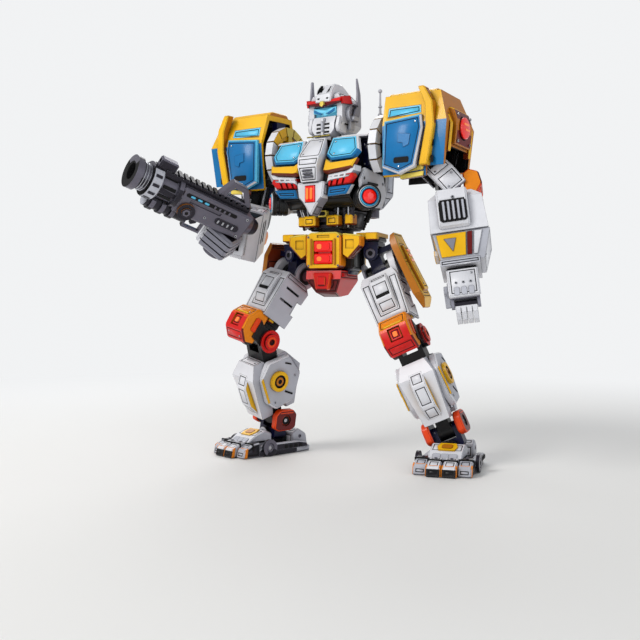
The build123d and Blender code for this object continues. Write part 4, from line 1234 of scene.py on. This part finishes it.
def belt_details():
    kit = Kit()
    # rim round the buckle, screws, and bellows further back
    kit.block(10.6, 12.2, -35.0, -33.6, 181, 205, "gold", trim=0.6)
    kit.bolt(shift(14.4, -34, 206.6) @ FACING_FRONT, 1.0)
    kit.bolt(shift(14.4, -34, 180.4) @ FACING_FRONT, 1.0)
    kit.bar((20.4, -14, 186), (20.4, -14, 202), 2.2, "gun_dark", ribs=6)
    kit.bolt(shift(43.4, -9, 211.0), 1.5)
    kit.bolt(shift(43.4, 9, 211.0), 1.5)
    kit.mirrored()
    kit.finish("belt_fittings", "pelvis")
    kit = Kit()
    # facets of the two lens halves, each with a glowing orange bar as a painted highlight
    for z0, z1 in ((183.4, 190.0), (194.4, 201.6)):
        kit.block(-6.6, 6.6, -35.5, -34.6, z0, z1, "lens", trim=1.4)
        kit.block(-5.4, -1.0, -35.9, -35.2, z0 + 1.2, z1 - 1.4, "ember", trim=1.0)
    kit.finish("buckle_facets", "buckle")


# arms
def pauldron_details(name):
    kit = Kit()
    # the round lens, glowing red, with two glowing orange bars as painted highlights
    lens = shift(54.6, -0.5, 10.5) @ FACING_OUT
    kit.turned([(9.3, -1.2), (9.3, 0.2, "lens"), (8.6, 0.8), (6.4, 1.2), (0, 1.4)], lens, "maroon", 36)
    kit.block(55.9, 56.3, -6, 3.4, 12.6, 14.4, "ember", trim=0.8)
    kit.block(55.9, 56.3, -3, 5.4, 8.2, 9.8, "ember", trim=0.8)
    for y, z in ((-12, 21), (13, 21), (-12, -2), (13, -2)):
        kit.bolt(shift(53.2, y, z) @ FACING_OUT, 1.3)
    # slot and step on the blue front plate, vents on the roof
    face = shift(0, -28.2, 0) @ turn("X", 86.3)
    kit.block(3.0, 17.5, -21.5, -16.5, 4.6, 5.5, "ink", face, 1.0)
    kit.prism([(6, 5), (18, 3), (17, -6), (12, -8), (11, -4), (6, -3)], 4.8, 5.7, "z", "blue", face)
    for x in (-4, 3, 10, 17):
        kit.block(x, x + 4, -8, 8, 45.6, 46.5, "gold", trim=1.0)
    kit.bolt(shift(28.5, 0, 45.9), 1.8)
    for z in (-22, -8, 6):
        kit.block(36.0, 38.2, -29.8, -28.9, z, z + 6, "ink", trim=0.5)
    kit.finish(f"{name}_pauldron_fittings", f"{name}_shoulder")


def arm_details(name, side):
    kit = Kit()
    # ribbed sleeve, cables and screws on the upper arm
    for y in (-6.4, 6.4):
        kit.bar((0, y * 1.35, -26), (0, y * 1.35, -43), 2.0, "rubber", ribs=8)
    kit.bar((-5, -9.0, -24), (-5, -9.0, -45), 1.2, "steel")
    kit.block(17.2, 19.4, -6, 6, -40, -38, "ink", trim=0.5)
    kit.bolt(shift(12.0, 0, -60) @ FACING_OUT, 3.4, "gun")
    kit.bolt(shift(-12.0, 0, -60) @ turn("Y", -90), 3.4, "gun")
    kit.finish(f"{name}_upper_arm_fittings", f"{name}_upper_arm")
    kit = Kit()
    # the outer face of the forearm: dark recess with fins above, coloured panel below
    lean = math.degrees(math.atan2(4, 24))
    upper = shift(32.2, 0, -35) @ turn("Y", lean) @ FACING_OUT
    kit.block(-8.0, 11.0, -12.4, 10.4, -0.2, 0.5, "ink", upper, 2.0)
    for y in (-9.4, -5.4, -1.4, 2.6, 6.6):
        kit.block(-6.6, 9.6, y, y + 2.0, 0.2, 1.5, "pale", upper, 0.6)
    kit.bolt(upper @ shift(-10.0, 0, 0), 1.4)
    kit.finish(f"{name}_forearm_fins", f"{name}_forearm")
    kit = Kit()
    low_lean = math.degrees(math.atan2(6.5, 23.6))
    panel = shift(20.6, 0, -63.6) @ turn("Y", low_lean) @ FACING_OUT
    first, second = ("yellow", "maroon") if side > 0 else ("pale", "orange")
    kit.prism([(-10.5, -17.5), (8.6, -15.0), (8.6, 5.0), (-10.5, 7.0)], -0.4, 0.9, "z", first, panel)
    kit.prism([(-10.5, 8.2), (8.6, 6.2), (8.6, 10.0), (-10.5, 12.4)], -0.4, 0.9, "z", second, panel)
    kit.prism([(-6.5, -11.5), (-6.5, -1.5), (4.5, -5.0)], 0.6, 1.5, "z", "grey", panel)
    kit.prism([(-10.5, 14.0), (8.6, 11.6), (8.6, 14.6), (-10.5, 20.5)], -0.4, 0.8, "z", "white", panel)
    kit.finish(f"{name}_forearm_panel", f"{name}_forearm")
    kit = Kit()
    # round boss and screws at the wrist
    kit.turned([(9.4, 0), (9.4, 0.8), (8.6, 1.2)], shift(0, 0, -4.8), "gun_dark")
    for y in (-6, 0, 6):
        top = 18.0 if side < 0 else 16.5
        kit.bolt(shift(top, y, -15) @ FACING_OUT, 1.1)
        kit.block(top - 0.2, top + 0.6, y - 2.2, y + 2.2, -26, -19, "pale", trim=0.8)
    kit.finish(f"{name}_hand_fittings", f"{name}_hand")


def blaster_details():
    kit = Kit()
    # long side slots with lights, receiver screws, muzzle rings, rail and stock
    for side in (-1, 1):
        kit.block(side * 11 - 0.35, side * 11 + 0.35, -33.6, -30.2, -58, -6, "ink", trim=1.2)
        for z in (-54, -47, -40):
            kit.block(side * 11.2 - 0.5, side * 11.2 + 0.5, -32.9, -30.9, z, z + 4.6, "sky", trim=0.6)
        for z in (-30, -25, -20, -15):
            kit.block(side * 11.2 - 0.5, side * 11.2 + 0.5, -33.2, -30.6, z, z + 1.8, "gun", trim=0.4)
        out = turn("Y", 90 * side)
        for y, z in ((-19, -32), (-19, -8), (-34, 4), (-15, 4)):
            kit.bolt(shift(side * 11.0, y, z) @ out, 1.4)
        kit.block(side * 11.1 - 0.6, side * 11.1 + 0.6, -24, -18, -22, 2, "gun_dark", trim=1.6)
        for z in (-20, -15, -10, -5):
            kit.block(side * 11.6 - 0.5, side * 11.6 + 0.5, -22.6, -19.4, z, z + 1.6, "steel", trim=0.3)
        kit.bolt(shift(side * 13.8, -17, -50) @ out, 3.6, "gun")
    axis = shift(0, -25, 0) @ turn("X", 180)
    kit.turned([(9.2, 88), (9.2, 106.8, "gun_dark"), (9.0, 107), (7.4, 106.4, "ink"), (7.2, 90, "ink")], axis,
               "ink", 40)
    for z in (93.5, 96.0, 98.5):
        kit.turned([(12, z - 0.6), (12.5, z - 0.3), (12.5, z + 0.3), (12, z + 0.6)], axis, "steel", 40)
    for i in range(12):
        kit.block(15.0, 15.9, -1.3, 1.3, 84.5, 90.5, "gun_dark", axis @ turn("Z", 30 * i + 15), 0.3)
    for i in range(8):
        kit.block(11.2, 12.1, -1.6, 1.6, 68, 80, "ink", axis @ turn("Z", 45 * i + 22.5), 0.4)
    kit.turned([(9, 12), (9.2, 13), (7.4, 19), (6.4, 21), (0, 21)], shift(0, -25, 0), "gun_dark")
    kit.block(-4.6, 4.6, -18.6, -15.6, -34, 4, "rubber", trim=1.0)
    kit.finish("blaster_fittings", "blaster")


# legs
def leg_details(name):
    kit = Kit()
    # joint caps on the roll axis
    cap = [(4.6, 0), (4.6, 0.5), (4.0, 0.9), (2.4, 0.9), (2.2, 0.4, "ink")]
    for y, face in ((-12.0, FACING_FRONT), (12.0, FACING_BACK)):
        kit.turned(cap, shift(0, y, 0) @ face, "gun", 24)
    kit.finish(f"{name}_hip_caps", f"{name}_hip_yaw")
    kit = Kit()
    # glowing orange strips as painted light, and screws, on the hanging skirt plate
    for z in (-12, -17, -22):
        kit.block(30.4, 32.0, -7, 4, z, z + 2.0, "ember", trim=0.6)
    kit.bolt(shift(28.6, 11, -30) @ FACING_OUT, 1.5)
    kit.bolt(shift(28.6, -14, -30) @ FACING_OUT, 1.5)
    kit.finish(f"{name}_skirt_fittings", f"{name}_hip_roll")
    kit = Kit()
    # thigh: hub caps, hoses behind and a slot in front
    kit.turned([(6.4, 0), (6.4, 0.5), (5.6, 0.9), (3.4, 0.9, "ink"), (3.2, 0.4), (0, 0.4, "gun")],
               shift(19.6, 0, 0) @ FACING_OUT, "pale")
    kit.turned([(9.0, 0), (9.0, 0.4), (8.4, 0.7), (5.0, 0.7, "ink"), (4.8, 0.3), (0, 0.3, "gun")],
               shift(-14.5, 0, 0) @ turn("Y", -90), "grey")
    for x in (-5, 5):
        kit.bar((x, 9.4, -18), (x, 9.4, -52), 2.0, "rubber", ribs=14)
    kit.block(-9, 9, 8.0, 9.6, -38, -30, "gun_dark", trim=1.4)
    kit.block(-6.4, 6.4, -27.3, -26.3, -31.0, -28.6, "ink", trim=0.6)
    kit.finish(f"{name}_thigh_fittings", f"{name}_thigh")
    kit = Kit()
    # knee: side bosses, brow lip and a glowing orange bar as a painted highlight on the lens
    for side in (-1, 1):
        out = shift(side * 19.2, 0, -72) @ turn("Y", 90 * side)
        kit.turned([(5.4, 0), (5.4, 0.3), (4.8, 0.7), (3.0, 0.7), (2.8, 0.2, "ink"), (0, 0.2)], out,
                   "flame", 28)
        kit.block(side * 14.2 - 0.5, side * 14.2 + 0.5, -26, -19, -74, -60, "flame", trim=1.6)
    kit.block(-2.0, 2.0, -34.4, -33.2, -72.4, -67.8, "ember", trim=0.8)
    kit.block(-9, 9, -33.6, -31.8, -61.6, -60.2, "yellow", trim=0.4)
    kit.finish(f"{name}_knee_fittings", f"{name}_thigh")
    kit = Kit()
    # shin: dark socket in the yellow ring, edge trims, slots, screws and calf vents
    for side in (-1, 1):
        out = shift(side * 22.4, -1, -40) @ turn("Y", 90 * side)
        kit.turned([(6.2, 0), (5.4, 0.2), (4.4, 0.2), (4.2, 0.8, "gold"), (2.2, 1.0), (2.0, 0.4, "ink"),
                    (0, 0.4)], out, "ink")
        kit.prism([(-19.6, -33), (-17.6, -31), (-14.8, -57), (-16.6, -57.6)], side * 20.0, side * 21.2, "x",
                  "yellow")
        for slot in ([(4, -54), (12, -60), (13, -58.6), (5, -52.4)],
                     [(10, -26), (17, -30), (17, -28.4), (10.6, -24.6)]):
            kit.prism(slot, side * 20.2, side * 20.9, "x", "ink")
        for y, z in ((-9, -60), (19, -42)):
            kit.bolt(shift(side * 20.4, y, z) @ turn("Y", 90 * side), 1.3)
    for z in (-57.2, -49.2, -41.2):
        kit.block(-8, 8, 19.2, 20.4, z, z + 2.4, "gun", trim=0.8)
    kit.finish(f"{name}_shin_fittings", f"{name}_shin")
    kit = Kit()
    # ankle: ringed sockets
    for side in (-1, 1):
        out = shift(side * 17.0, 0, 3.5) @ turn("Y", 90 * side)
        kit.turned([(5.3, -1.6), (5.3, 0.6, "maroon"), (4.4, 1.2, "flame"), (3.4, 0.8, "ink"), (2.0, 0.2),
                    (1.8, 0.9, "steel"), (0, 1.1)], out, "ink", 28)
        kit.block(side * 18.9 - 0.3, side * 18.9 + 0.5, -8, 8, 10.6, 11.8, "flame", trim=0.5)
    kit.finish(f"{name}_ankle_fittings", f"{name}_ankle")
    kit = Kit()
    # foot: yellow insert on the instep, wheel hubs, knuckle joints and heel slots
    slope = math.degrees(math.atan2(5, 14))
    top = shift(0, -27, 2.7) @ turn("X", slope)
    kit.prism([(-7, -6.5), (7, -6.5), (9, 0), (7, 6), (-7, 6), (-9, 0)], -0.3, 0.9, "z", "yellow", top)
    kit.block(-4.6, 4.6, -3.6, 3.4, 0.6, 1.3, "gold", top, 1.2)
    steep = math.degrees(math.atan2(9, 12))
    nose = shift(0, -40, -4.4) @ turn("X", steep)
    for x in (-11, -4, 3):
        kit.block(x, x + 7.4, -4.6, 4.2, -0.2, 0.8, "pale", nose, 1.0)
    for side in (-1, 1):
        hub = shift(side * 26.8, -24, -9.8) @ turn("Y", 90 * side)
        kit.turned([(4.3, 0), (4.3, 0.6), (3.6, 1.1), (2.2, 1.1), (2.0, 0.5, "ink"), (0, 0.5, "steel")],
                   hub, "gun", 28)
        for y in (-4, 2, 8, 14):
            kit.block(side * 25 - 0.4, side * 25 + 0.6, y, y + 3.4, -12.6, -9.4, "ink", trim=0.6)
        kit.bolt(shift(side * 15.8, 22, -4) @ turn("Y", 90 * side), 2.0, "gun")
        kit.block(side * 15.2 - 0.4, side * 15.2 + 0.4, -34, -18, -6, -4.4, "ink", trim=0.6)
    for x, back in ((-19, 6), (-6.8, 0), (6.8, 0), (19, 6)):
        kit.block(x - 6.6, x + 6.6, -49.4 + back, -48.2 + back, -11.5, -4.4, "ink", trim=0.4)
        kit.bolt(shift(x, -44 + back, -4.2), 1.5, "gun")
        kit.prism([(-58.8 + back, -17.4), (-57.0 + back, -9.8), (-54.4 + back, -8.2), (-55.6 + back, -17.4)],
                  x - 6.5, x + 6.5, "x", "orange")
    for z in (-9, -5.6):
        kit.block(-9, 9, 30.6, 32.6, z - 3, z - 1.4, "ink", shift(0, -1.0, 0), 0.5)
    kit.finish(f"{name}_foot_fittings", f"{name}_foot")


pods()
chest_details()
back_details()
head_details()
belt_details()
blaster_details()
for name, side in SIDES.items():
    pauldron_details(name)
    arm_details(name, side)
    leg_details(name)
